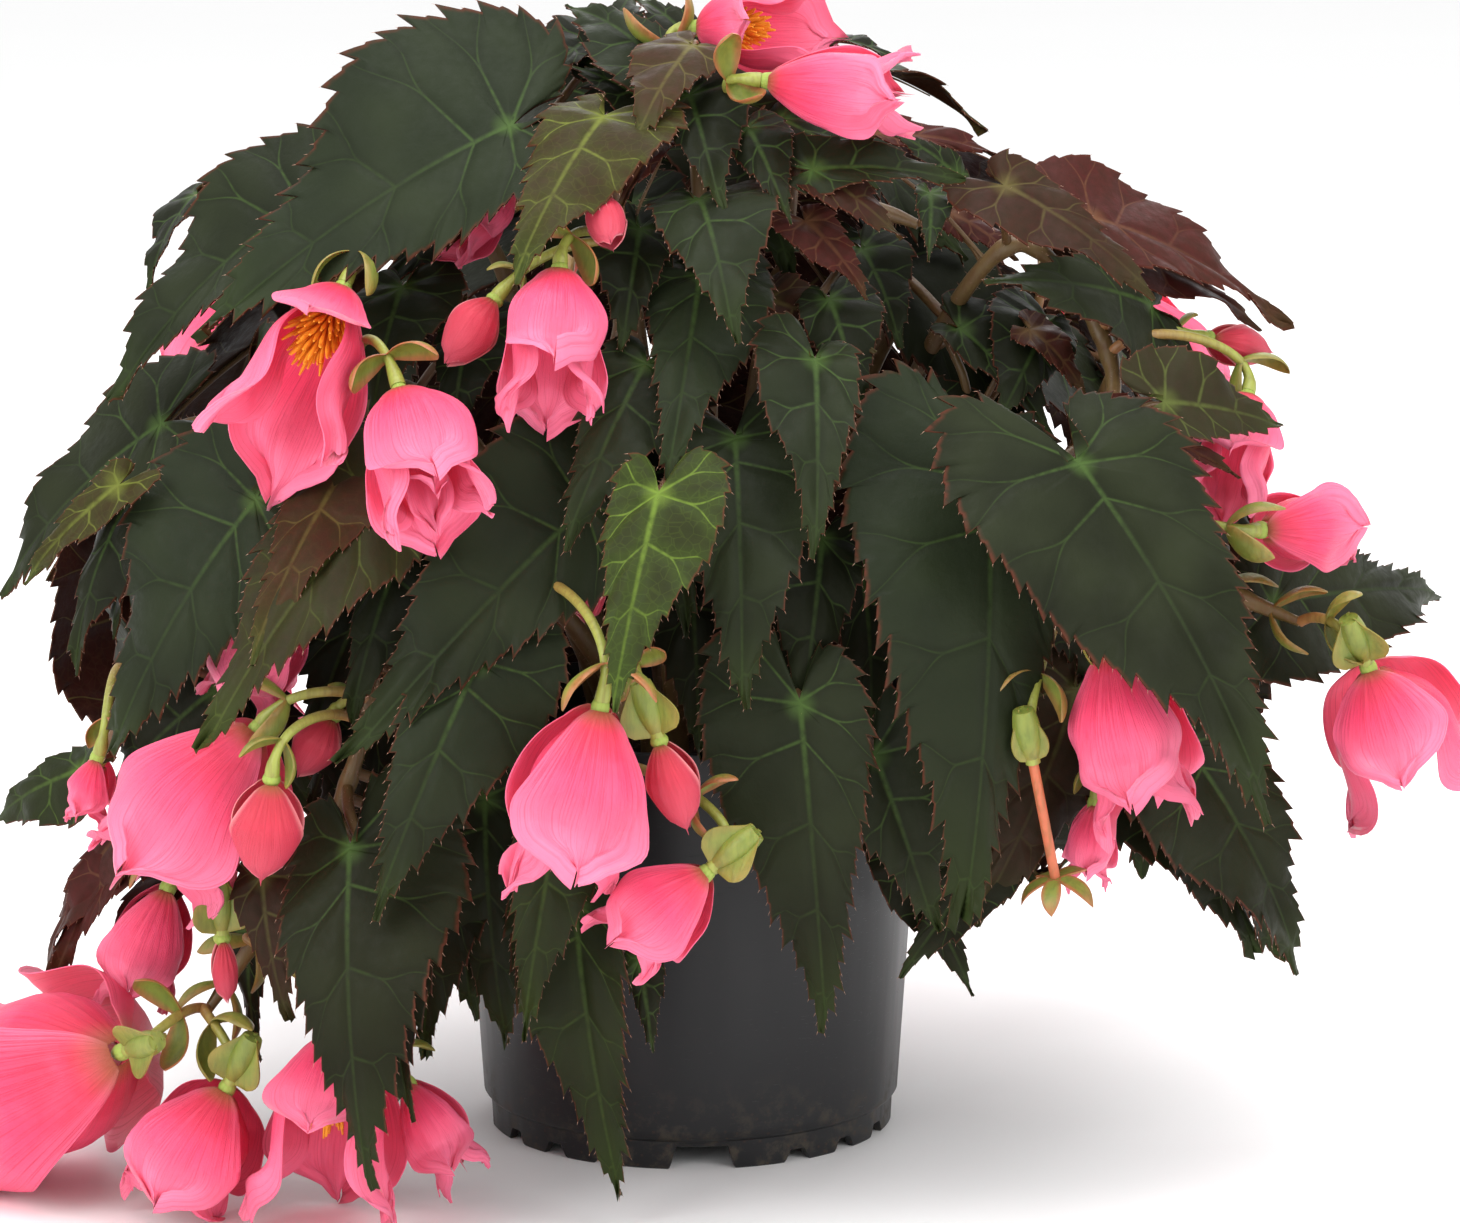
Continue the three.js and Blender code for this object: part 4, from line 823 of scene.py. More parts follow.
def add_leaf(sheaf, blade, row):
    """Adds a leaf's blade with bristles on its teeth, and the numbers that its finish reads."""
    number, length = blade["number"], blade["length"]
    columns = TOOTH["columns"] * int(np.clip(round(length / 5), 8, 20))
    veins = LEAF["veins"] if length > 60 else LEAF["veins"] - 1
    share = np.linspace(0, LAST_COLUMN, columns + 1)
    fan = LEAF["fan"]
    beyond = (np.maximum(share - fan, 0) / (1 - fan)) ** 1.1
    rib = np.where(share < fan, LEAF["hub"] * (share / fan - 1), beyond)
    middle = np.stack([rib, 0.02 * smooth_step(rib, 0.8, 1)], -1)
    sides = []
    for side, sign in ((SMALL_SIDE, -1), (LARGE_SIDE, 1)):
        edge, teeth = leaf_margin(side, columns, 7 * number + sign)
        v = SHARES[:, None, None]
        sides.append(middle + (edge - middle) * v + teeth * v**8)
    flat = np.concatenate([sides[0][:0:-1], sides[1]])
    s, t = flat[..., 0], flat[..., 1]
    v = np.concatenate([SHARES[:0:-1], SHARES])[:, None] * np.ones(columns + 1)
    spacing = np.linalg.norm(np.gradient(flat, axis=1), axis=-1) * length * columns / veins
    apart = np.abs((share * veins) % 1 - 0.5)[None, :] * spacing
    swell = QUILT["high"] * (1 - np.exp(-apart / QUILT["reach"])) * (1 - v**3)
    swell = swell * np.minimum(np.abs(t) * length / QUILT["from_rib"], 1)
    phase = number + 2 * (t > 0)
    for high, waves, turns, power in RUFFLES:
        wave = np.sin(2 * math.pi * waves * share[None, :] + turns * phase)
        swell = swell + high * length * wave * v**power
    point, normal = on_leaf(blade, s, t)
    point = point + swell[..., None] * normal
    traits = (row.get("tone", draw(number + 300)), row.get("young", 0), row.get("red", 0))
    many = {
        "blade": told(s * length, t * length * blade["wide"], spacing),
        "veins": told(share * veins, v, s),
        "traits": np.broadcast_to(traits, (*v.shape, 3)),
    }
    add_blade(sheaf, point, normal, LEAF["thick"], (0, 1, 0), **many)
    for rim, before in ((0, 1), (-1, -2)):
        roots, ways = point[rim, 3::2], point[rim, 3::2] - point[before, 3::2]
        ways = unit(ways) + 0.7 * blade["along"]
        size = np.array([0.75 + 0.35 * draw(k + number) for k in range(len(roots))])
        flats = {"blade": (0, 0, 1), "veins": (0, 1, 0), "traits": traits}
        size = size * min(BRISTLE["longest"], length / 45)
        add_bristles(sheaf, roots, ways, size, BRISTLE["width"], 2, **flats)


trial = Sheaf("blade", "veins", "traits")
add_leaf(trial, leaf_frame(largest, 0), largest)
print("points in the largest leaf:", trial.count)

# %% [markdown]
# ## The leaf's finish
# The veins are lines of the leaf's own grid, so the finish can find them from the numbers that each point
# carries: how many veins along it is, how far out from the midrib, and how far apart two veins are there.
# Painted pictures would need one for each leaf.


# %% Veins on a leaf
def vein_lines(finish):
    """How strongly a vein shows, how far from one a point is in mm, and the vectors the points carry."""
    blade, _, across, spacing = finish.read("blade")
    _, turn, out, along = finish.read("veins")
    _, tone, young, red = finish.read("traits")
    fork = finish.ramp(out, 0.45, 1.0, 0.0, 0.26)
    beside = finish.sum("ABSOLUTE", finish.sum("SUBTRACT", finish.sum("FRACT", turn), 0.5))
    side_gap = finish.times(finish.sum("ABSOLUTE", finish.sum("SUBTRACT", beside, fork)), spacing)
    side_line = finish.ramp(side_gap, 0.05, finish.ramp(out, 0.0, 1.0, 0.75, 0.28), 1.0, 0.0)
    rib_gap = finish.sum("ABSOLUTE", across)
    rib_line = finish.ramp(rib_gap, 0.1, finish.ramp(along, 0.0, 1.0, 1.1, 0.4), 1.0, 0.0)
    gap = finish.sum("MINIMUM", side_gap, rib_gap)
    return finish.sum("MAXIMUM", side_line, rib_line), gap, blade, out, along, tone, young, red


print("what a leaf's points carry:", ", ".join(trial.vectors))

# %% [markdown]
# Old leaves are almost black-green with a soft gloss, and their thin veins are only a little lighter, most
# so near the stalk. Young ones are brighter, and reddish where the light has burnt them. Old leaves also
# get painted shade: their colour is darker in the valleys beside the veins, on leaves low on the plant,
# and on leaves in the shade. All of them have a rusty edge and a greener tip. Below, a leaf is maroon with
# pale veins. One finish for each side does all of it, because each leaf carries its tone, which is set low
# on leaves in the shade to paint shade on them, and how young and how red it is.


# %% Leaf finishes
def leaf_finish(upper):
    name = "leaf_upper" if upper else "leaf_underside"
    finish = Finish(name, Roughness=0.48, IOR=1.4, Specular_IOR_Level=0.12)
    line, gap, blade, out, along, tone, young, red = vein_lines(finish)
    flat = finish.scaled(blade, (1, 1, 0))
    from_hub = finish.add("ShaderNodeVectorMath", "Value", {0: flat}, operation="LENGTH")
    near = finish.ramp(from_hub, 2.0, 34.0, 1.0, 0.0)
    wander = finish.noise(flat, 0.35, 4)
    broad = finish.noise(flat, 0.045, 1)
    net = finish.ramp(finish.cells(flat, 0.4), 0.015, 0.07, 1.0, 0.0)
    if upper:
        old = finish.mix(finish.ramp(broad, 0.2, 0.8), colour(25, 28, 16), colour(39, 44, 27))
        old = finish.mix(finish.ramp(tone, -1.0, 1.0, 0.0, 0.4), old, colour(38, 48, 33))
        # painted shade in the valleys beside the veins: darker within about 2 mm of a vein
        old = finish.mix(finish.ramp(gap, 0.3, 2.4, 0.25, 0.0), old, colour(18, 20, 11))
        # painted shade: leaves in the shade, whose tone is below -1, are darkened
        old = finish.mix(finish.ramp(tone, -2.0, -1.0, 0.7, 0.0), old, colour(14, 15, 8))
        # painted shade: leaves low on the plant, below 0.2 m, are darkened towards the bottom
        _, _, high = finish.apart(finish.place())
        old = finish.mix(finish.ramp(high, 0.05, 0.2, 0.5, 0.0), old, colour(26, 24, 10))
        fresh = finish.mix(wander, colour(42, 54, 22), colour(66, 78, 30))
        fresh = finish.mix(finish.ramp(gap, 0.5, 5.0, 0.0, 0.6), fresh, colour(36, 32, 18))
        rust = finish.mix(wander, colour(88, 28, 30), colour(46, 26, 18))
        base = finish.mix(finish.times(young, 0.85), old, fresh)
        base = finish.mix(finish.times(red, 0.85), base, rust)
        tip = finish.ramp(along, 0.62, 1.0, 0.0, finish.ramp(young, 0.0, 0.5, 0.3, 0.7))
        base = finish.mix(tip, base, colour(52, 66, 26))
        bright = finish.mix(young, colour(72, 96, 46), colour(112, 136, 50))
        bright = finish.mix(finish.times(red, 0.7), bright, colour(128, 60, 54))
        base = finish.mix(finish.ramp(finish.times(net, young), 0.0, 1.0, 0.0, 0.07), base, bright)
        faint = finish.ramp(young, 0.0, 1.0, 0.13, 0.34)
        shown = finish.plus(faint, finish.times(near, 0.32))
        shown = finish.times(shown, finish.ramp(wander, 0.3, 0.6, 0.45, 1.1))
        base = finish.mix(finish.times(line, shown), base, bright)
        heart = finish.ramp(from_hub, 0.5, 5.0, 0.55, 0.0)
        base = finish.mix(heart, base, bright)
        edge = finish.times(finish.ramp(out, 0.96, 0.998), finish.ramp(wander, 0.3, 0.6, 0.15, 0.75))
        base = finish.mix(edge, base, colour(88, 44, 32))
    else:
        base = finish.mix(wander, colour(30, 13, 10), colour(58, 27, 20))
        base = finish.mix(finish.times(young, 0.6), base, colour(90, 70, 36))
        base = finish.mix(finish.times(net, 0.12), base, colour(80, 60, 36))
        base = finish.mix(finish.times(line, 0.5), base, colour(94, 84, 46))
    finish.paint(base)
    finish.paint(finish.ramp(wander, 0.3, 0.7, 0.42, 0.56), "Roughness")
    dome = finish.ramp(gap, 0.0, 3.2)
    pucker = finish.times(finish.noise(flat, 0.28, 2), 0.9)
    grain = finish.times(finish.noise(flat, 2.2, 3), 0.16)
    fine = finish.plus(grain, finish.times(broad, 3.0))
    height = finish.plus(finish.plus(dome, pucker), fine)
    finish.relief(height, 0.0004 if upper else -0.0005, 0.6)
    return finish.material


bristle = Finish("bristle", Base_Color=colour(176, 138, 112), Roughness=0.5)
bristle.paint(bristle.mix(bristle.noise(bristle.place(), 120), colour(188, 160, 136), colour(142, 78, 60)))
leaf_materials = [leaf_finish(True), leaf_finish(False), bristle.material]
print("leaf finishes:", [material.name for material in leaf_materials])

# %% [markdown]
# ## Stems and stalks
# The stems are fleshy and hairy, light brown with green and pink in them. Each stands in the soil and
# passes behind its leaves. We could draw its curve by hand, but a line that is evened out between the
# leaves' own places follows them wherever they are moved. Branches that leave it at nearly the same place
# share a joint.

# %% The stem's line
STEM = {"foot": 3.1, "tip": 1.9, "sunk": 22, "behind_leaf": 15, "joint_gap": 5, "evenings": 24, "soil": 101}
STALK = {"leaf": 1.35, "slim": 0.032, "drop": 5, "drop_share": 0.07, "flower": 1.15, "end": 1.9}


def stem_line(stem, blades):
    foot = np.array([*stem["root"], STEM["soil"] - STEM["sunk"]], float)
    collar = np.array([*stem["root"], STEM["soil"] + 6], float)
    passed = [blade["root"] for blade, row in zip(blades, stem["leaves"]) if not row.get("aside")]
    knots = stem.get("path") or [root - outward(root) * STEM["behind_leaf"] for root in passed]
    last = len(knots) - 1
    evened = [knots[i] / 2 + knots[max(i - 1, 0)] / 4 + knots[min(i + 1, last)] / 4 for i in range(last + 1)]
    rise = (collar + evened[0]) / 2 + np.array([0, 0, 18])
    tail = [spot(place) for place in stem["tail"]]
    line = smooth_line([collar, rise, *evened, *tail], 8 * (len(evened) + len(tail) + 2) + 1)
    for _ in range(STEM["evenings"]):
        for i in range(2, len(line) - 1):
            line[i] = line[i] / 2 + (line[i - 1] + line[i + 1]) / 4
    return np.array([foot, *line])


def along_line(line, far, values=None):
    """The place so far along a line, or what other values given at the line's points come to there."""
    lengths = walked(line)
    values = line if values is None else values
    return np.stack([np.interp(far, lengths, values[:, k]) for k in range(3)], -1)


def nearest_along(line, point):
    """How far along the line, above its collar, the place nearest to a point is."""
    lengths, start, step = walked(line)[:-1], line[:-1], np.diff(line, axis=0)
    share = np.clip(((point - start) * step).sum(1) / np.maximum((step**2).sum(1), 1e-9), 0, 1)
    gap = np.linalg.norm(start + step * share[:, None] - point, axis=1)
    gap[:3] = np.inf
    best = int(np.argmin(gap))
    return lengths[best] + share[best] * np.linalg.norm(step[best])


def joint_places(line, wants):
    """Where each branch leaves the stem: branches that want nearly the same place share a joint."""
    joints = []
    for which, want in enumerate(wants):
        far = nearest_along(line, want)
        near = [j for j in joints if abs(j["far"] - far) < STEM["joint_gap"] and len(j["branches"]) < 3]
        if near:
            near[0]["branches"].append(which)
        else:
            joints.append({"far": far, "branches": [which]})
    joints.sort(key=lambda joint: joint["far"])
    for before, joint in zip(joints, joints[1:]):
        joint["far"] = max(joint["far"], before["far"] + STEM["joint_gap"])
    places = {which: along_line(line, joint["far"]) for joint in joints for which in joint["branches"]}
    return [places[k] for k in range(len(wants))], [joint["far"] for joint in joints]


print("joint gap in mm:", STEM["joint_gap"])

# %% [markdown]
# A leaf's stalk arches out from the stem and carries on under the leaf as its raised midrib, so the leaf is
# held the way a real one is. The flower stalks are thinner. Each arches out and then hangs, and it ends in
# the neck of its bloom.


# %% Stalks
TO_VIEWER = np.array([0, -1, 0.15])


def bloom_frame(row, number):
    root, tip = spot(row["from"]), spot(row["to"])
    along = unit(tip - root)
    front = turned(square_to(TO_VIEWER, along), along, math.radians(14 * draw(number + 200)))
    length = np.linalg.norm(tip - root)
    sizes = {"length": length, "radius": row.get("wide", 0.7) * length / 2}
    ends = {"root": root, "along": along, "front": front}
    return {**ends, **sizes, "form": row["form"], "number": number, "ovary": row.get("ovary", False)}


def leaf_stalk_path(blade, joint):
    start, normal = on_leaf(blade, -0.015, 0.0)
    ways = unit(np.cross(blade["left"], normal))
    drop = max(STALK["drop"], STALK["drop_share"] * blade["length"])
    below = start - normal * drop * 0.8 - ways * 3
    rising = joint * 0.55 + below * 0.45 + outward(joint) * 2
    size = min(STALK["leaf"], STALK["slim"] * blade["wide"] * blade["length"])
    under = [on_leaf(blade, s, 0.0) for s in (0.03, 0.12, 0.25, 0.4, 0.55, 0.7)]
    rib = [point - side * size * (0.85 - 0.1 * k) for k, (point, side) in enumerate(under)]
    path = smooth_line([joint, rising, below, start - normal * size, *rib], 46)
    share = np.linspace(0, 1, len(path))
    return path, size * (1.12 - 0.45 * smooth_step(share, 0.1, 0.4) - 0.52 * smooth_step(share, 0.38, 1.0))


def flower_stalk_path(bloom, joint):
    neck = bloom["root"] - bloom["along"]
    reach = min(np.linalg.norm(joint - neck) * 0.4, 24)
    leaving = joint + unit(outward(joint) + np.array([0, 0, 0.6])) * reach
    arriving = neck - bloom["along"] * reach
    t = np.linspace(0, 1, 24)[:, None]
    near_bloom = (1 - t) ** 3 * neck + 3 * t * (1 - t) ** 2 * arriving
    return near_bloom + 3 * t**2 * (1 - t) * leaving + t**3 * joint


trial_flower = bloom_frame(stems[0]["blooms"][0], 0)
print("the first bloom is", round(trial_flower["length"]), "mm long")

# %% [markdown]
# Fine hairs stand all round the stems and stalks, and catch the light as a pale edge. Blender's hair system
# would make them in the picture only. These are real meshes, so they are part of the piece wherever it is
# used.

# %% Hairs
HAIR = {"short": 0.6, "long": 1.4, "width": 0.07, "apart": 1.1}  # mm


def add_hairs(sheaf, path, radius, seed, tone):
    """Adds hairs all round a stalk, at random."""
    total = walked(path)[-1]
    count = int(total / HAIR["apart"]) * 2
    random = np.random.default_rng(seed)
    far = random.uniform(0.02, 0.98, count) * total
    centre = along_line(path, far)
    way = along_line(path, far, unit(np.gradient(path, axis=0)))
    out = random.normal(size=(count, 3))
    out = unit(out - way * (out * way).sum(1, keepdims=True))
    thick = np.interp(far, walked(path), radius)[:, None]
    length = random.uniform(HAIR["short"], HAIR["long"], count)
    roots = centre + 0.95 * thick * out
    add_bristles(sheaf, roots, out + 0.3 * way, length, HAIR["width"], 1, stalk=(0, 0, tone))


def add_stalks(sheaf, stem, line, blades, blooms, places, joints):
    """Adds a stem, its leaf stalks and its flower stalks, with hairs on the stem and the leaf stalks."""
    smooth = smooth_line(line, 4 * len(line))
    far = walked(smooth)
    radii = np.interp(far, [0, 200], [STEM["foot"], STEM["tip"]])
    for joint in joints:
        radii = radii + 0.55 * np.exp(-(((far - joint) / 3.5) ** 2))
    add_tube(sheaf, smooth, radii * (1 - 0.5 * smooth_step(far / far[-1], 0.97, 1)), 14, "stalk", 0.0)
    add_hairs(sheaf, smooth, radii, len(line), 0.0)
    for k, blade in enumerate(blades):
        path, radii = leaf_stalk_path(blade, places[k])
        add_tube(sheaf, path, radii, 10, "stalk", 0.4 + 0.3 * stem["leaves"][k].get("young", 0))
        add_hairs(sheaf, path[:22], radii[:22], 50 + k, 0.4)
    for flower, place in zip(blooms, places[len(blades):]):
        path = flower_stalk_path(flower, place)
        share = np.linspace(0, 1, len(path))
        widening = (STALK["end"] - STALK["flower"]) * (1 - smooth_step(share, 0, 0.12))
        radii = STALK["flower"] * (1 + 0.2 * share) + widening
        into_bloom = flower["root"] + 0.2 * flower["along"]
        add_tube(sheaf, np.vstack([into_bloom, path]), np.hstack([radii[0], radii]), 10, "stalk", 1.0)


print("hairs are", HAIR["short"], "to", HAIR["long"], "mm long")

# %% [markdown]
# The finish of a stalk follows the kind it is: stems are brown with green under it, leaf stalks are
# reddish, and flower stalks go from yellow-green to pink. Fine streaks run along them.

# %% Stalk finish
stalk = Finish("fleshy_stalk", Roughness=0.42, Specular_IOR_Level=0.5)
_, far_along, around, tone = stalk.read("stalk")
where = stalk.place()
patches = stalk.noise(where, 90, 4)
streaks = stalk.noise(stalk.scaled(where, (900, 900, 120)), 1.0, 3)
woody = stalk.mix(patches, colour(88, 62, 38), colour(124, 104, 62))
leafy = stalk.mix(patches, colour(96, 50, 36), colour(104, 92, 48))
floral = stalk.mix(stalk.ramp(far_along, 0.2, 1.0), colour(150, 158, 70), colour(164, 112, 66))
skin = stalk.mix(stalk.ramp(tone, 0.1, 0.4), woody, leafy)
skin = stalk.mix(stalk.ramp(tone, 0.7, 0.95), skin, floral)
skin = stalk.mix(stalk.ramp(streaks, 0.35, 0.75, 0.0, 0.35), skin, colour(92, 50, 36))
stalk.paint(skin)
stalk.relief(stalk.plus(streaks, patches), 0.0003, 0.6)
print("stalk finish has", len(stalk.nodes), "nodes")

# %% [markdown]
# ## A bloom
# A bloom hangs with its petals closed like a bell. Two broad outer petals overlap two narrower inner ones,
# and double blooms have more inside. A petal bulges out from the neck, closes in, and ends in a point
# between two shoulders. These two curves, of how far out it is and how wide, give it that form.

# %% The petal's curves
GAP = 0.3
PETAL = {"thick": 0.5, "layer_gap": 1.2, "layer_shrink": 0.26, "cover": 2.7, "wrap": 80}
HEART = {"radius": 2.7, "band": 2.1}
# How far each form flares, and then its layers of petals. A petal is given by the quarter that it stands in,
# how long it is, and half its width.
FORMS = {
    "bell": (0, [[(0, 0.75, 0.34), (2, 0.9, 0.34)], [(1, 1, 0.25), (3, 0.93, 0.25)]]),
    "open": (0.75, [[(0, 0.4, 0.26), (2, 1, 0.36)], [(1, 0.94, 0.27), (3, 0.9, 0.27)]]),
    "full": (0.35, [
        [(0, 0.86, 0.34), (2, 0.92, 0.34)],
        [(1, 1, 0.27), (3, 0.94, 0.27)],
        [(0, 0.86, 0.13), (2, 0.92, 0.13)],
    ]),
    "bud": (-0.5, [[(0, 1, 0.42), (2, 0.97, 0.42)]]),
}
PETAL_GRID = (34, 23)


def bulge(u, flare):
    """How far out of the bloom's middle a petal is, from neck to tip."""
    swell = np.sin(np.minimum(u * 2.4, 1) * math.pi / 2)
    closing = 0.26 - (0.2 if flare > 0 else 0.9) * flare
    return swell * (1 - closing * np.maximum((u - 0.4) / 0.6, 0) ** 1.6) + 0.45 * flare * u**1.5


def petal_width(u):
    """The petal's width from neck to tip: broad, with a point between two shoulders."""
    body = np.clip(u / 0.9, 0, 1)
    broad = 1.52 * body**0.6 * (1 - body**6) ** 0.55
    point = 0.6 * np.clip((1 - u) / 0.2, 0, 1) ** 0.9 * smooth_step(u, 0.6, 0.8)
    return np.maximum(broad, point)


print("points along and across a petal:", PETAL_GRID)

# %% [markdown]
# Each petal is wrapped round the bloom's middle like a stave round a barrel, and then made less perfect:
# its edge waves, its lip flicks out, a keel runs down it, and its end is ragged. Cloth simulation could
# crumple it, but it would be hard to keep the petal where its solid is.


# %% The petal in space
def petal_surface(bloom, layer, quarter, long, half, seed):
    """The middle surface of a petal, the way it faces, and how far along and across it each point is."""
    flare, loose = FORMS[bloom["form"]][0], bloom["form"] != "bud"
    u, v = grid((0.02, 0.995, PETAL_GRID[0]), (-1, 1, PETAL_GRID[1]))
    length, radius = bloom["length"], bloom["radius"]
    start = GAP + HEART["band"] * (layer + 0.5)
    reach = (radius - layer * PETAL["layer_gap"]) * (1 - PETAL["layer_shrink"] * layer)
    lobes = 0.05 * np.sin(4.3 * v + seed) + 0.035 * np.sin(9.1 * v + 2 * seed)
    ragged = 0.02 * np.sin(19 * v + seed) + 0.05 * (1 + 0.5 * draw(seed + 3)) * np.cos(6 * v)
    lobes = lobes + loose * ragged
    depth = start + (length * long - start) * u * (1 + lobes * u**2)
    share = np.minimum((depth - start) / (length - start), 1)
    far = HEART["radius"] * 0.7 + (reach - HEART["radius"] * 0.7) * bulge(share, flare)
    bend = np.maximum(far, 0.5 * reach) * (1 + 0.25 * max(flare, 0))
    across = v * half * petal_width(u) * PETAL["cover"] * radius
    limit = math.radians(PETAL["wrap"])
    angle = np.clip(across / bend, -limit, limit)
    out = turned(bloom["front"], bloom["along"], quarter * math.pi / 2)
    sideways = np.cross(out, bloom["along"])
    normal = np.cos(angle)[..., None] * out + np.sin(angle)[..., None] * sideways
    ribs = 0.12 * np.sin(v * 19 + seed) * (1 - u) ** 0.5
    waves = 0.04 * length * np.sin(7 * u + 2.3 * v + seed) * np.abs(v) ** 3 * smooth_step(u, 0.3, 0.8)
    waves = waves + 0.03 * length * np.sin(6.5 * v + 1.7 * seed) * smooth_step(u, 0.45, 1.0)
    flick = (0.09 + 0.05 * draw(seed)) * length * smooth_step(u, 0.72, 1.0) * (1 if layer == 0 else 0.6)
    keel = -0.02 * length * np.exp(-((v / 0.16) ** 2)) * smooth_step(u, 0.45, 0.95)
    fine = ribs + loose * (waves + flick + keel)
    point = bloom["root"] + depth[..., None] * bloom["along"]
    point = point + (far - bend * (1 - np.cos(angle)))[..., None] * out
    point = point + (bend * np.sin(angle))[..., None] * sideways + fine[..., None] * normal
    return point, normal, u, v


def add_bloom(sheaf, bloom):
    """Adds a bloom's petals, and the green knob that they grow from."""
    layers = FORMS[bloom["form"]][1]
    deep = 1.0 if bloom["form"] == "bud" else 0.25 + 0.25 * draw(bloom["number"] + 17)
    for layer, petals in enumerate(layers):
        for quarter, long, half in petals:
            seed = bloom["number"] * 7 + layer * 3 + quarter
            point, normal, u, v = petal_surface(bloom, layer, quarter, long, half, seed)
            thick = PETAL["thick"] * (1 - 0.45 * np.abs(v) ** 4)
            add_blade(sheaf, point, normal, thick, petal=told(u, v, deep))
    knob = bloom["root"] + np.linspace(-0.6, HEART["band"] * len(layers) + 1, 6)[:, None] * bloom["along"]
    add_tube(sheaf, knob, HEART["radius"] * np.array([0.45, 0.75, 0.85, 0.8, 0.6, 0.3]), 12, "petal", 2.0)


trial_flower_sheaf = Sheaf("petal")
add_bloom(trial_flower_sheaf, trial_flower)
print("points in an open bloom:", trial_flower_sheaf.count)

# %% [markdown]
# A petal is green-brown at its very neck, deep pink above it and paler towards its edge and tip, with fine
# darker veins that fan out along it. It is thin, so light goes into it and comes out softened. Glassy
# transmission would make it wet, so a little subsurface scattering gives that. Buds are a deeper red with a
# pale seam.

# %% Petal finish
petal = Finish("petal", Roughness=0.5, Specular_IOR_Level=0.35)
_, along_petal, over_petal, deep = petal.read("petal")
where = petal.place()
soft = petal.noise(where, 60, 3)
wide = petal.sum("ABSOLUTE", over_petal)
hue = petal.mix(petal.ramp(along_petal, 0.0, 0.45), colour(204, 46, 70), colour(236, 62, 104))
hue = petal.mix(petal.ramp(along_petal, 0.3, 1.0, 0.0, 0.85), hue, colour(245, 124, 156))
hue = petal.mix(petal.ramp(wide, 0.5, 1.0, 0.0, 0.45), hue, colour(247, 118, 152))
fan = petal.add("ShaderNodeCombineXYZ", 0, {0: petal.times(over_petal, 26), 1: along_petal})
veins = petal.ramp(petal.noise(fan, 1.6, 5, 0.65), 0.48, 0.66)
fading = petal.ramp(along_petal, 0.1, 0.95, 0.75, 0.32)
hue = petal.mix(petal.times(veins, fading), hue, colour(192, 34, 66))
hue = petal.mix(petal.ramp(soft, 0.42, 0.7, 0.0, 0.35), hue, colour(246, 92, 128))
bud = petal.mix(petal.ramp(wide, 0.8, 1.0), colour(176, 44, 54), colour(214, 130, 128))
hue = petal.mix(petal.ramp(deep, 0.55, 1.0, 0.0, 0.75), hue, bud)
neck = petal.ramp(along_petal, 0.0, 0.13, 0.75, 0.0)
hue = petal.mix(neck, hue, colour(132, 92, 46))
hue = petal.mix(petal.ramp(deep, 1.4, 1.9), hue, colour(150, 168, 76))
petal.paint(hue)
petal.shader.inputs["Subsurface Weight"].default_value = 0.2
petal.shader.inputs["Subsurface Radius"].default_value = (1.0, 0.35, 0.3)
petal.shader.inputs["Subsurface Scale"].default_value = 0.003
petal.relief(petal.plus(veins, petal.noise(where, 700, 2)), 0.00012, 0.6)
print("petal finish has", len(petal.nodes), "nodes")

# %% [markdown]
# ## Stamens
# Open blooms show a brush of orange stamens: dozens of short threads, each with a club-shaped end. Their
# directions follow the golden angle, which fills a cone evenly without any two alike.

# %% Stamens
STAMEN = {"count": 84, "cone": 40, "thread": 0.26, "club": 0.55, "golden": 137.5, "points": 7}
stamen = Finish("stamen", Roughness=0.55)
where = stamen.place()
_, far_along, _, _ = stamen.read("stalk")
pollen = stamen.mix(stamen.noise(where, 600, 2), colour(240, 140, 24), colour(252, 186, 52))
stamen.paint(stamen.mix(stamen.ramp(far_along, 0.3, 0.8), colour(232, 104, 24), pollen))
stamen.relief(stamen.cells(where, 2500), 0.0002)


def add_stamens(sheaf, bloom):
    base = bloom["root"] + bloom["along"] * (2 * HEART["band"] + GAP)
    side = np.cross(bloom["front"], bloom["along"])
    column = base + np.linspace(0, 0.15 * bloom["length"], 5)[:, None] * bloom["along"]
    add_tube(sheaf, column, [1.8, 1.6, 1.4, 1.2, 0.5], 10, "stalk")
    step = smooth_step(np.linspace(0, 1, STAMEN["points"]), 0.55, 0.8)
    thick = STAMEN["thread"] + (STAMEN["club"] - STAMEN["thread"]) * step
    thick[-1] = 0.25
    for k in range(STAMEN["count"]):
        share = (k + 0.5) / STAMEN["count"]
        turn = math.radians(STAMEN["golden"] * k)
        lean = math.radians(STAMEN["cone"]) * math.sqrt(share)
        out = math.cos(turn) * bloom["front"] + math.sin(turn) * side
        way = unit(math.cos(lean) * bloom["along"] + math.sin(lean) * out + 0.25 * bloom["front"])
        long = bloom["length"] * (0.24 + 0.06 * draw(k) + 0.06 * (1 - share))
        start = base + bloom["along"] * 0.12 * bloom["length"] * (1 - share)
        bend = start + way * long * 0.5 + bloom["along"] * 0.4
        path = smooth_line([start, bend, start + way * long], STAMEN["points"])
        add_tube(sheaf, path, thick, 6, "stalk")


print("stamens to a bloom:", STAMEN["count"])

# %% [markdown]
# ## Ovaries and bracts
# A female bloom sits on an ovary with three wings, yellow-green with a red edge. Its body is a short fat
# tube and its wings are blades. All three are the same grid, turned round the stalk, so we work the grid
# out only once.

# %% Ovaries
OVARY = {"top": -14, "low": -1.2, "reach": 8, "body": 3.4, "thick": 0.8}  # mm
SPENT_SHARE = 0.62  # how far the wings reach under a bloom that has fallen


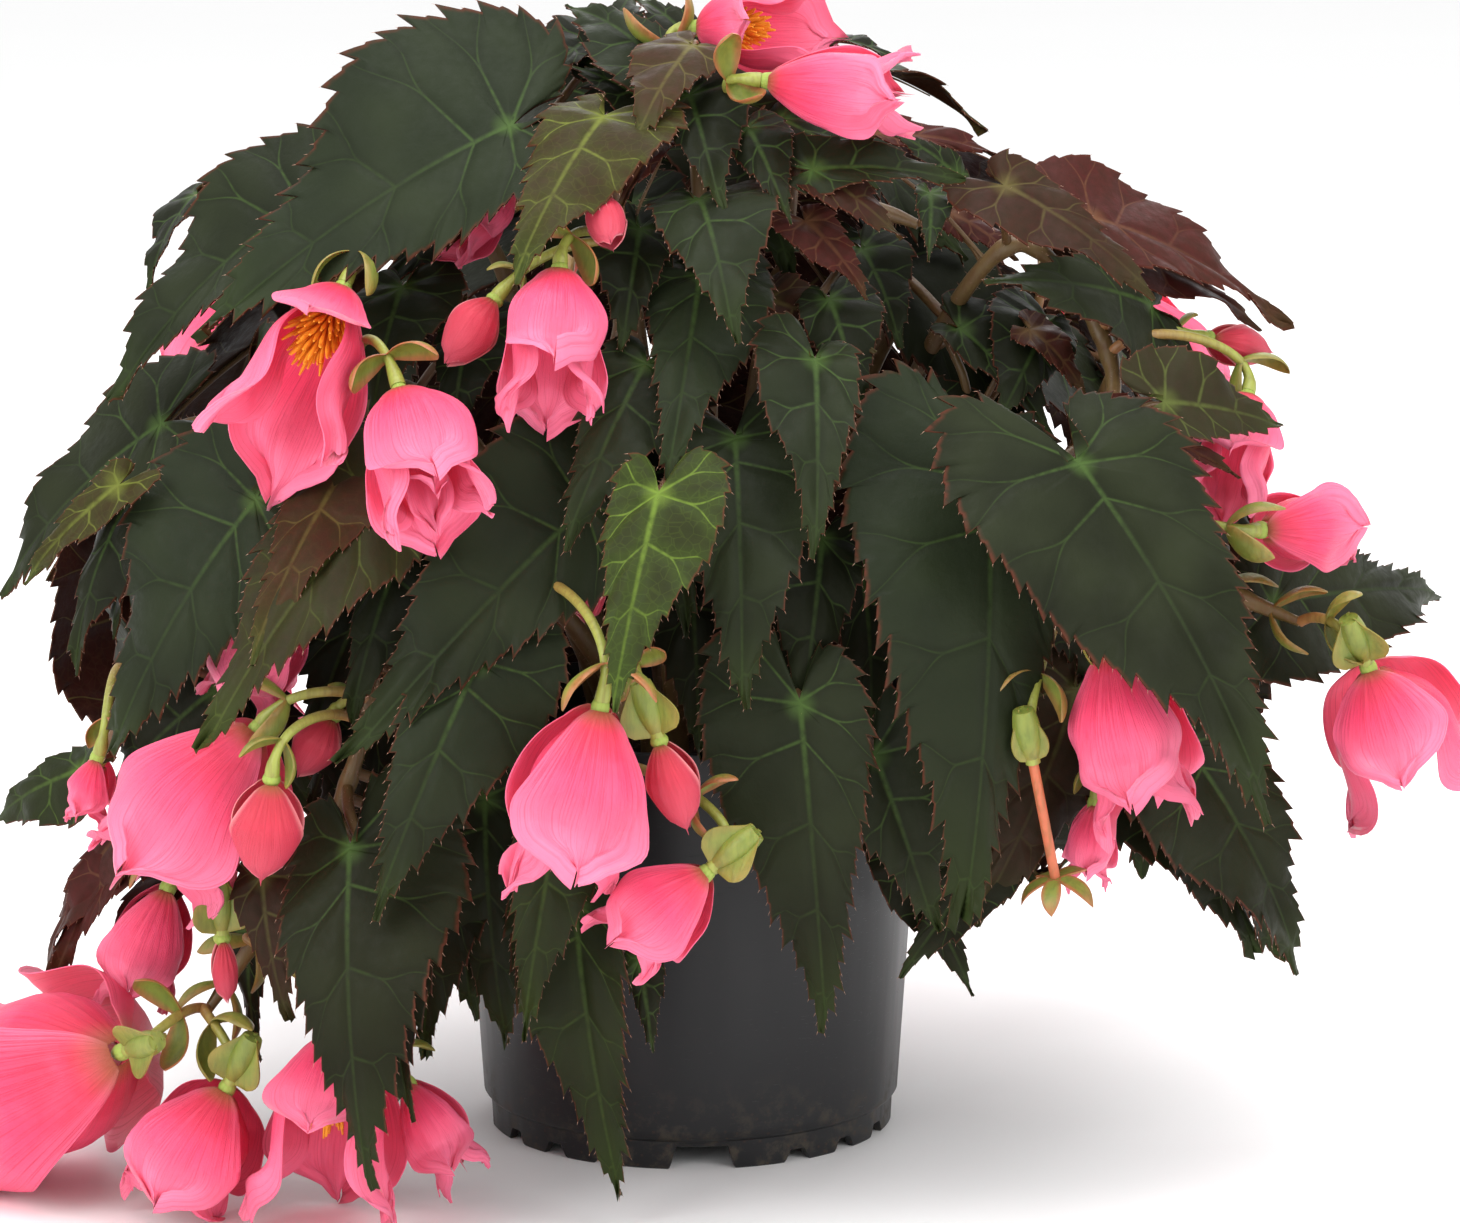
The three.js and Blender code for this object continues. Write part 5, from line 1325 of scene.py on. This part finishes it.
def add_ovary(sheaf, bloom):
    """Adds an ovary's body and its three wings."""
    root, along = bloom["root"], bloom["along"]
    reach = OVARY["reach"] * (SPENT_SHARE if bloom["form"] == "spent" else 1)
    depth = np.linspace(OVARY["top"], OVARY["low"], 9)
    swell = np.sin(np.linspace(0.25, 0.85, 9) * math.pi)
    add_tube(sheaf, root + depth[:, None] * along, OVARY["body"] * swell**0.8, 14, "bract", 0.2)
    u, v = grid((0, 1, 14), (0, 1, 9))
    rim = reach * (0.28 + 0.72 * np.sin(math.pi * 0.86 * u**1.3))
    rim = rim * (1 - 0.6 * np.maximum((u - 0.9) / 0.1, 0) ** 2)
    long = OVARY["top"] - 0.5 + (OVARY["low"] - OVARY["top"] + 1.3) * u
    far = 1.2 + (rim - 1.2) * v
    for k in range(3):
        out = turned(bloom["front"], along, math.radians(120 * k + 60))
        side = np.cross(along, out)
        curl = 0.5 * np.sin(3 * u + k) * v**2
        point = root + long[..., None] * along + far[..., None] * out + curl[..., None] * side
        add_blade(sheaf, point, side, OVARY["thick"] * (1 - 0.5 * v), bract=told(u, v, 0.2))


print("an ovary is", OVARY["low"] - OVARY["top"], "mm long")

# %% [markdown]
# Above most blooms two small green bracts stand off the stalk, like a pair of hands. Each pair leans by its
# own amount, so that they don't look stamped out.

# %% Bracts
BRACT = {"up": 8, "long": 15, "wide": 10, "thick": 0.45}  # mm


def add_bracts(sheaf, bloom, path):
    """Adds the pair of bracts that stand off a flower's stalk a little above the bloom."""
    up = min(BRACT["up"] - OVARY["top"] * bloom["ovary"], 0.6 * walked(path)[-1])
    centre = along_line(path, up)
    way = unit(along_line(path, up - 1) - along_line(path, up + 1))
    long = min(BRACT["long"], 0.42 * bloom["length"])
    u, v = grid((0, 1, 14), (-1, 1, 9))
    half = 0.75 * BRACT["wide"] * long / BRACT["long"] * np.maximum(u, 0.04) ** 0.55 * (1.005 - u**2) ** 0.9
    tone = 0.5 + 0.5 * draw(bloom["number"] + 9)
    for sign in (-1, 1):
        turn = math.radians(90 * sign + 30 * draw(bloom["number"] * 3 + sign))
        out = turned(square_to(bloom["front"], way), way, turn)
        lean = 0.62 + 0.3 * draw(bloom["number"] + 5 * sign)
        far = long * (np.sin(lean) * u + 0.22 * np.sin(3 * u)) + 0.6
        down = long * np.cos(lean) * u**1.3
        normal = unit(np.cos(lean) * out - np.sin(lean) * way)
        point = centre + far[..., None] * out + down[..., None] * way
        point = point + (v * half)[..., None] * np.cross(way, out) - (0.45 * half * v**2)[..., None] * normal
        add_blade(sheaf, point, normal, BRACT["thick"], bract=told(u, v, tone))


print("a bract is", BRACT["long"], "mm long")

# %% [markdown]
# One bloom has dropped its petals. What is left is a coral stalk that hangs from the ovary, and at its end
# a dried star.

# %% A fallen bloom's star
STAR = {"stalk": 1.3, "lobes": 5, "reach": 9.5, "half": 4.2, "thick": 0.5}  # mm


def add_star(sheaf, bloom):
    """Adds what a fallen bloom leaves behind: a hanging stalk with a dried star of five lobes."""
    root, along, long = bloom["root"], bloom["along"], bloom["length"]
    add_tube(sheaf, root + np.linspace(0.5, long - 3, 8)[:, None] * along, STAR["stalk"], 10, "bract", 3.0)
    u, v = grid((0, 1, 12), (-1, 1, 7))
    half = STAR["half"] * np.maximum(u, 0.15) ** 0.5 * (1.03 - u**2.4)
    far = STAR["reach"] * np.sin(1.4 * u)
    for k in range(STAR["lobes"]):
        out = turned(bloom["front"], along, math.radians(360 / STAR["lobes"] * k + 20))
        down = long - 4 + 4.5 * u**2 * (1 + 0.6 * draw(k))
        point = root + down[..., None] * along + far[..., None] * out
        point = point + (v * half)[..., None] * np.cross(along, out)
        add_blade(sheaf, point, -along, STAR["thick"], bract=told(u, v, 0.8))


print("lobes of the star:", STAR["lobes"])

# %% [markdown]
# One finish serves ovaries, bracts and star. It is lime green with a reddish edge, more so where the tone
# is high, and all coral where the tone is above two, which is how the bare stalk asks for its colour.

# %% Bract finish
bract = Finish("bract", Roughness=0.45, Specular_IOR_Level=0.45)
_, far_along, over_bract, tone = bract.read("bract")
where = bract.place()
lime = bract.mix(bract.noise(where, 150, 3), colour(92, 112, 40), colour(146, 150, 66))
edge = bract.ramp(bract.sum("ABSOLUTE", over_bract), 0.4, 1.0, 0.0, 0.8)
edge = bract.sum("MAXIMUM", edge, bract.ramp(far_along, 0.5, 1.1, 0.0, 0.8))
ruddy = bract.ramp(tone, 0.15, 0.9, 0.25, 1.0)
lime = bract.mix(bract.times(edge, ruddy), lime, colour(170, 86, 62))
lime = bract.mix(bract.ramp(tone, 2.0, 2.9), lime, colour(196, 104, 72))
streak = bract.noise(bract.scaled(where, (700, 700, 160)), 1.0, 3)
bract.paint(bract.mix(bract.ramp(streak, 0.4, 0.7, 0.0, 0.35), lime, colour(74, 88, 32)))
bract.shader.inputs["Subsurface Weight"].default_value = 0.15
bract.shader.inputs["Subsurface Scale"].default_value = 0.002
bract.relief(streak, 0.0003, 0.6)
print("bract finish has", len(bract.nodes), "nodes")

# %% [markdown]
# ## Growing the plant
# Now each stem is grown: its leaves, stalks, bracts and blooms are added to sheaves and built. One mesh for
# each kind of piece on a stem keeps the scene quick to work with, while each bloom stays a piece that can
# be taken off. Each built piece takes the place of the solids that it stands for.

# %% Grow every stem
# Leaves in the shade carry a tone of -1.5, which their finish turns into painted shade.
SHADE = {"tone": -1.5, "first_number": 400, "sides": 8}
TAIL_BRACTS = {"length": 34, "front": unit([0.2, -1, 0.15])}

grown = 0
for stem in stems:
    name = stem["name"]
    node = "leafy_stem_" + name
    blades = [leaf_frame(row, grown + k) for k, row in enumerate(stem["leaves"])]
    blooms = [bloom_frame(row, grown + k) for k, row in enumerate(stem["blooms"])]
    line = stem_line(stem, blades)
    # Each stalk heads for a place a little behind its leaf or bloom.
    wants = [blade["root"] - 8 * blade["along"] - 6 * blade["face"] for blade in blades]
    wants += [flower["root"] - 10 * flower["along"] for flower in blooms]
    places, joints = joint_places(line, wants)
    first = SHADE["first_number"] + 10 * len(line)
    inner = [leaf_frame(row, first + k) for k, row in enumerate(stem["shade"])]
    # each leaf in the shade takes the low tone that paints shade on it
    shade = [{"tone": SHADE["tone"], **row} for row in stem["shade"]]
    leaves = Sheaf("blade", "veins", "traits")
    for blade, row in zip(blades + inner, stem["leaves"] + shade):
        add_leaf(leaves, blade, row)
    leaves.build("leaves_" + name, leaf_materials, "foliage", node, sharp=75)
    stalks = Sheaf("stalk")
    add_stalks(stalks, stem, line, blades, blooms, places, joints)
    for blade in inner:
        joint = along_line(line, nearest_along(line, blade["root"] - 8 * blade["along"]))
        path, radii = leaf_stalk_path(blade, joint)
        add_tube(stalks, path, radii, SHADE["sides"], "stalk", 0.4)
    stalks.build("stalks_" + name, [stalk.material, bristle.material], "foliage", node)
    if blooms:
        bracts = Sheaf("bract")
        for flower, place in zip(blooms, places[len(blades):]):
            if flower["ovary"]:
                add_ovary(bracts, flower)
            if flower["form"] == "spent":
                add_star(bracts, flower)
            add_bracts(bracts, flower, flower_stalk_path(flower, place))
        for k in range(2 if stem["tail"] else 0):
            add_bracts(bracts, {**TAIL_BRACTS, "number": 60 + k, "ovary": k == 1}, line[::-1])
        bracts.build("bracts_" + name, [bract.material], "foliage", node)
    for k, flower in enumerate(blooms, 1):
        if flower["form"] == "spent":
            continue
        petals = Sheaf("petal")
        add_bloom(petals, flower)
        petals.build(f"petals_{name}_{k}", [petal.material], "petal", f"bloom_{name}_{k}", sharp=80)
        if flower["form"] == "open":
            threads = Sheaf("stalk")
            add_stamens(threads, flower)
            threads.build(f"threads_{name}_{k}", [stamen.material], "stamen", f"stamens_{name}_{k}")
    grown += len(stem["leaves"])
    print(f"{name}: {len(blades)} leaves, {len(blooms)} blooms, and {leaves.count} points in its leaves")

# %% [markdown]
# ## The pot
# The pot is blow-moulded charcoal plastic. Its wall tapers down to a step, and the foot ring under the step
# has notches that let water out. The outline is turned round the axis in fine steps, as a Screw modifier
# would, and the foot's lower edge is lifted where a notch is. So the notches are real openings with soft
# edges, which cutting them out wouldn't give.

# %% The pot's shape
POT = {
    "height": 112, "wall": 1.6, "rim": 65, "rim_high": 8, "shoulder": 61.4, "belt": 55.2, "belt_high": 8.6,
    "foot": 53.6, "foot_wall": 2.2, "floor": 7.2, "steps": 720,
}
NOTCH = {"wide": (15, 6), "narrow": (5.4, 3.2), "first": -86.4, "offsets": (0, 28, 45.5, 63)}


def notch_height(angle):
    """How high the foot's lower edge is lifted at each angle, in mm."""
    lifted = np.zeros_like(angle)
    for quarter in range(4):
        for k, offset in enumerate(NOTCH["offsets"]):
            wide, high = NOTCH["narrow" if k else "wide"]
            middle = NOTCH["first"] + 90 * quarter + offset
            away = np.abs((np.degrees(angle) - middle + 180) % 360 - 180)
            reach = np.radians(away) * POT["foot"]
            side = 1 - smooth_step(reach, wide / 2 - 1, wide / 2 + 1.3)
            lifted = np.maximum(lifted, high * side)
    return lifted


def pot_rows():
    """The wall's outline from the foot's inside, round the rim, to the floor, as (radius, height, lift)."""
    wall, top, low = POT["wall"], POT["height"], POT["belt_high"]
    foot, belt, shoulder, rim = (POT[key] for key in ("foot", "belt", "shoulder", "rim"))
    inner, step = foot - POT["foot_wall"], top - POT["rim_high"]
    return [
        (inner, POT["floor"] - wall, 0), (inner, 0.35, 1), (inner + 0.35, 0, 1), (foot - 0.35, 0, 1),
        (foot, 0.35, 1), (foot + 0.3, low - 1.2, 0), (foot + 0.7, low - 0.9, 0), (belt - 0.3, low - 0.3, 0),
        (belt, low + 0.2, 0), (belt + 0.1, low + 2, 0), (shoulder, step, 0), (rim - 0.7, step + 0.5, 0),
        (rim - 0.4, step + 1, 0), (rim - 0.1, top - 0.5, 0), (rim - 0.5, top, 0), (rim - wall + 0.3, top, 0),
        (rim - wall, top - 0.4, 0), (shoulder - wall, step, 0), (belt - wall, POT["floor"], 0),
    ]


angle = np.arange(POT["steps"]) * 2 * math.pi / POT["steps"]
lift = notch_height(angle)
rings = []
for radius, height, lifts in pot_rows():
    high = np.minimum(height + lift, POT["floor"] - 1) if lifts else np.full_like(angle, height)
    rings.append(np.stack([radius * np.cos(angle), radius * np.sin(angle), high], -1))
pot_sheaf = Sheaf()
pot_sheaf.add(rings, tube_faces(len(rings), POT["steps"]))
print("points in the pot's wall:", pot_sheaf.count)

# %% [markdown]
# The plastic is charcoal, a little glossy and not quite smooth: soft vertical streaks from moulding, fine
# scuffs, and a dusting of dry soil near the foot. All of that is in the roughness and the colour, so the
# softboxes draw long soft reflections down the wall.

# %% Pot finish
plastic = Finish("charcoal_plastic", Specular_IOR_Level=0.34)
where = plastic.place()
along_wall = plastic.noise(plastic.scaled(where, (1, 1, 0.12)), 60, 3)
cloud = plastic.noise(where, 25, 4)
scuff = plastic.ramp(plastic.noise(plastic.scaled(where, (260, 260, 2200)), 1.0, 5, 0.7), 0.62, 0.72)
_, _, height = plastic.apart(where)
low = plastic.ramp(height, 0.0, 0.028, 1.0, 0.0)
patchy = plastic.ramp(plastic.noise(where, 180, 5, 0.7), 0.48, 0.66)
dust = plastic.times(patchy, plastic.times(low, 0.5))
crumb = plastic.times(plastic.ramp(plastic.cells(where, 420, "F1"), 0.1, 0.22, 1.0, 0.0), low)
charcoal = plastic.mix(cloud, colour(18, 18, 19), colour(26, 26, 28))
charcoal = plastic.mix(plastic.times(scuff, 0.2), charcoal, colour(70, 71, 74))
charcoal = plastic.mix(dust, charcoal, colour(78, 68, 54))
plastic.paint(plastic.mix(plastic.times(crumb, 0.6), charcoal, colour(60, 40, 28)))
dull = plastic.plus(plastic.ramp(along_wall, 0.3, 0.7, 0.3, 0.44), plastic.times(dust, 0.4))
plastic.paint(dull, "Roughness")
plastic.relief(plastic.plus(along_wall, plastic.times(scuff, 0.2)), 0.0005, 0.35)
pot = pot_sheaf.build("pot_body", [plastic.material], "pot_plastic", "pot", sharp=35)
print("pot finish has", len(plastic.nodes), "nodes")

# %% [markdown]
# Water drains through four holes in the pot's floor. A Boolean modifier cuts them with round drills, is
# applied, and the drills are removed. It suits holes in a flat floor, where a clean edge is all they need.

# %% Drain holes
DRAIN = {"radius": 4.5, "ring": 36, "count": 4}
drills = Sheaf()
for k in range(DRAIN["count"]):
    turn = 2 * math.pi * (k + 0.5) / DRAIN["count"]
    x, y = DRAIN["ring"] * math.cos(turn), DRAIN["ring"] * math.sin(turn)
    add_tube(drills, [(x, y, POT["floor"] + z) for z in (-4, 0, 4)], DRAIN["radius"], 32)
cutter = drills.build("drill", [plastic.material], "pot_plastic")
cut = pot.modifiers.new("drain", "BOOLEAN")
cut.operation, cut.object, cut.solver = "DIFFERENCE", cutter, "EXACT"
bpy.context.view_layer.objects.active = pot
bpy.ops.object.modifier_apply(modifier=cut.name)
bpy.data.objects.remove(cutter)
print("faces in the pot:", len(pot.data.polygons))

# %% [markdown]
# ## The soil
# Potting soil is dark peat with crumbs and a few pale grains. The surface is a disc whose rings rise and
# fall with noise, closed by a plain plug below that fills the pot, and crumbs are strewn on it. Leaves hide
# most of it, so it needs shape more than fine detail.

# %% The soil's shape
SOIL = {"edge": 96, "crown": 101, "gap": 0.3, "seed": 5, "turns": 160, "rings": 44}
BUMPS = ((0.2, 0.7), (0.5, 0.5), (1.1, 0.35), (1.7, 0.25))  # waves to a millimetre, and how high they are
random = np.random.default_rng(SOIL["seed"])


def soil_radius(height):
    share = (height - POT["belt_high"]) / (POT["height"] - POT["rim_high"] - POT["belt_high"])
    return POT["belt"] + share * (POT["shoulder"] - POT["belt"]) - POT["wall"] - SOIL["gap"]


def soil_height(radius):
    return SOIL["edge"] + (SOIL["crown"] - SOIL["edge"]) * np.cos(radius / POT["shoulder"] * math.pi / 2)


turns = SOIL["turns"]
last_turn = 2 * math.pi * (1 - 1 / turns)
radius, turn = grid((0.4, soil_radius(SOIL["edge"]), SOIL["rings"]), (0, last_turn, turns))
flat = np.stack([radius * np.cos(turn), radius * np.sin(turn)], -1)
bumps = 0
for waves, high in BUMPS:
    for _ in range(3):
        bumps = bumps + high * np.sin(flat @ random.normal(scale=waves, size=2) + random.uniform(0, 6))
surface = np.concatenate([flat, (soil_height(radius) + 0.5 * bumps)[..., None]], -1)
plug = [told(soil_radius(z) * np.cos(turn[0]), soil_radius(z) * np.sin(turn[0]), z)
        for z in (80, 50, POT["floor"] + SOIL["gap"])]
rings = np.concatenate([surface, plug])
index = np.arange(len(rings) * turns).reshape(-1, turns)
beside = np.roll(index, -1, axis=1)
skin = np.stack([index[:-1], index[1:], beside[1:], beside[:-1]], -1).reshape(-1, 4)
soil_sheaf = Sheaf()
soil_sheaf.add(rings, [*skin, index[0], index[-1][::-1]])
print("points in the soil:", soil_sheaf.count)

# %% [markdown]
# Peat is loose, so crumbs lie on it. Each is a little ball of eight faces whose corners are pushed in and
# out, and all of them go into the soil's own mesh. A particle system could strew them too, but numbers
# drawn from a fixed seed give the same crumbs each time.

# %% Crumbs and their finish
CRUMBS = {"count": 420, "strewn": 56.26}  # how many, and how far from the middle in mm
ball = np.array([[1, 0, 0], [-1, 0, 0], [0, 1, 0], [0, -1, 0], [0, 0, 1], [0, 0, -1]], float)
ball_faces = [(0, 2, 4), (2, 1, 4), (1, 3, 4), (3, 0, 4), (2, 0, 5), (1, 2, 5), (3, 1, 5), (0, 3, 5)]
for _ in range(CRUMBS["count"]):
    far = CRUMBS["strewn"] * math.sqrt(random.uniform())
    turn = random.uniform(0, 2 * math.pi)
    size = random.uniform(0.5, 2.2)
    corners = ball * size * random.uniform(0.55, 1.1, (6, 1)) * random.uniform(0.7, 1.2, 3)
    middle = np.array([far * math.cos(turn), far * math.sin(turn), soil_height(far) + 0.2 * size])
    soil_sheaf.add(corners + middle, ball_faces)
peat = Finish("peat", Roughness=0.95, Specular_IOR_Level=0.2)
where = peat.place()
brown = peat.mix(peat.noise(where, 400, 5, 0.7), colour(24, 15, 10), colour(70, 48, 33))
grains = peat.ramp(peat.cells(where, 260, "F1"), 0.08, 0.16, 1.0, 0.0)
peat.paint(peat.mix(peat.times(grains, 0.45), brown, colour(150, 132, 108)))
peat.relief(peat.noise(where, 700, 5, 0.7), 0.0012)
soil_sheaf.build("soil_surface", [peat.material], "soil", "soil")
print("crumbs on the soil:", CRUMBS["count"])

# %% [markdown]
# ## Floor and light
# The plant stands on a pale floor that runs far back, so that no horizon shows and its colour reaches the
# leaves from below.

# %% Floor
FLOOR = 9.0  # metres from the middle to each edge
floor_mesh = bpy.data.meshes.new("floor")
corners = [(x * FLOOR, y * FLOOR, 0) for x, y in ((-1, -1), (1, -1), (1, 1), (-1, 1))]
floor_mesh.from_pydata(corners, [], [(0, 1, 2, 3)])
floor = bpy.data.objects.new("floor", floor_mesh)
bpy.context.scene.collection.objects.link(floor)
paper = Finish("paper_floor", Roughness=0.8, Specular_IOR_Level=0.1)
paper.paint(paper.mix(paper.noise(paper.place(), 1.5, 2), colour(247, 247, 247), colour(250, 250, 250)))
floor_mesh.materials.append(paper.material)
print("the floor is", 2 * FLOOR, "m wide")

# %% [markdown]
# A studio for plants is bright and soft: two tall softboxes beside the camera, one overhead, one behind,
# and an even pale sky. A sun lamp would draw hard shadows of every leaf. The boxes are large, so shadows
# are soft, and they show in the pot as broad bands.

# %% Lights
# Each softbox: its place in metres, how wide and high it is, and its power in watts.
LIGHTS = {
    "left_box": ((-1.25, -1.35, 1.0), 1.1, 1.5, 20),
    "right_box": ((1.35, -1.2, 0.9), 0.9, 1.5, 12),
    "top_box": ((0.0, -0.3, 1.9), 1.6, 1.6, 26),
    "back_box": ((0.3, 1.7, 1.3), 1.4, 1.0, 12),
}
for name, (place, wide, high, power) in LIGHTS.items():
    box = bpy.data.lights.new(name, "AREA")
    box.shape, box.size, box.size_y, box.energy = "RECTANGLE", wide, high, power
    lamp = bpy.data.objects.new(name, box)
    bpy.context.scene.collection.objects.link(lamp)
    lamp.location = place
    aim = np.array([0, 0, 0.14]) - np.array(place)
    lamp.rotation_euler = (math.atan2(math.hypot(aim[0], aim[1]), -aim[2]), 0, math.atan2(-aim[0], aim[1]))
sky = bpy.data.worlds.new("pale_sky")
sky.use_nodes = True
backdrop = sky.node_tree.nodes["Background"]
backdrop.inputs["Color"].default_value = (1, 1, 1, 1)
backdrop.inputs["Strength"].default_value = 1.0
bpy.context.scene.world = sky
bpy.context.scene.view_settings.view_transform = "Standard"
print("lights:", ", ".join(LIGHTS))
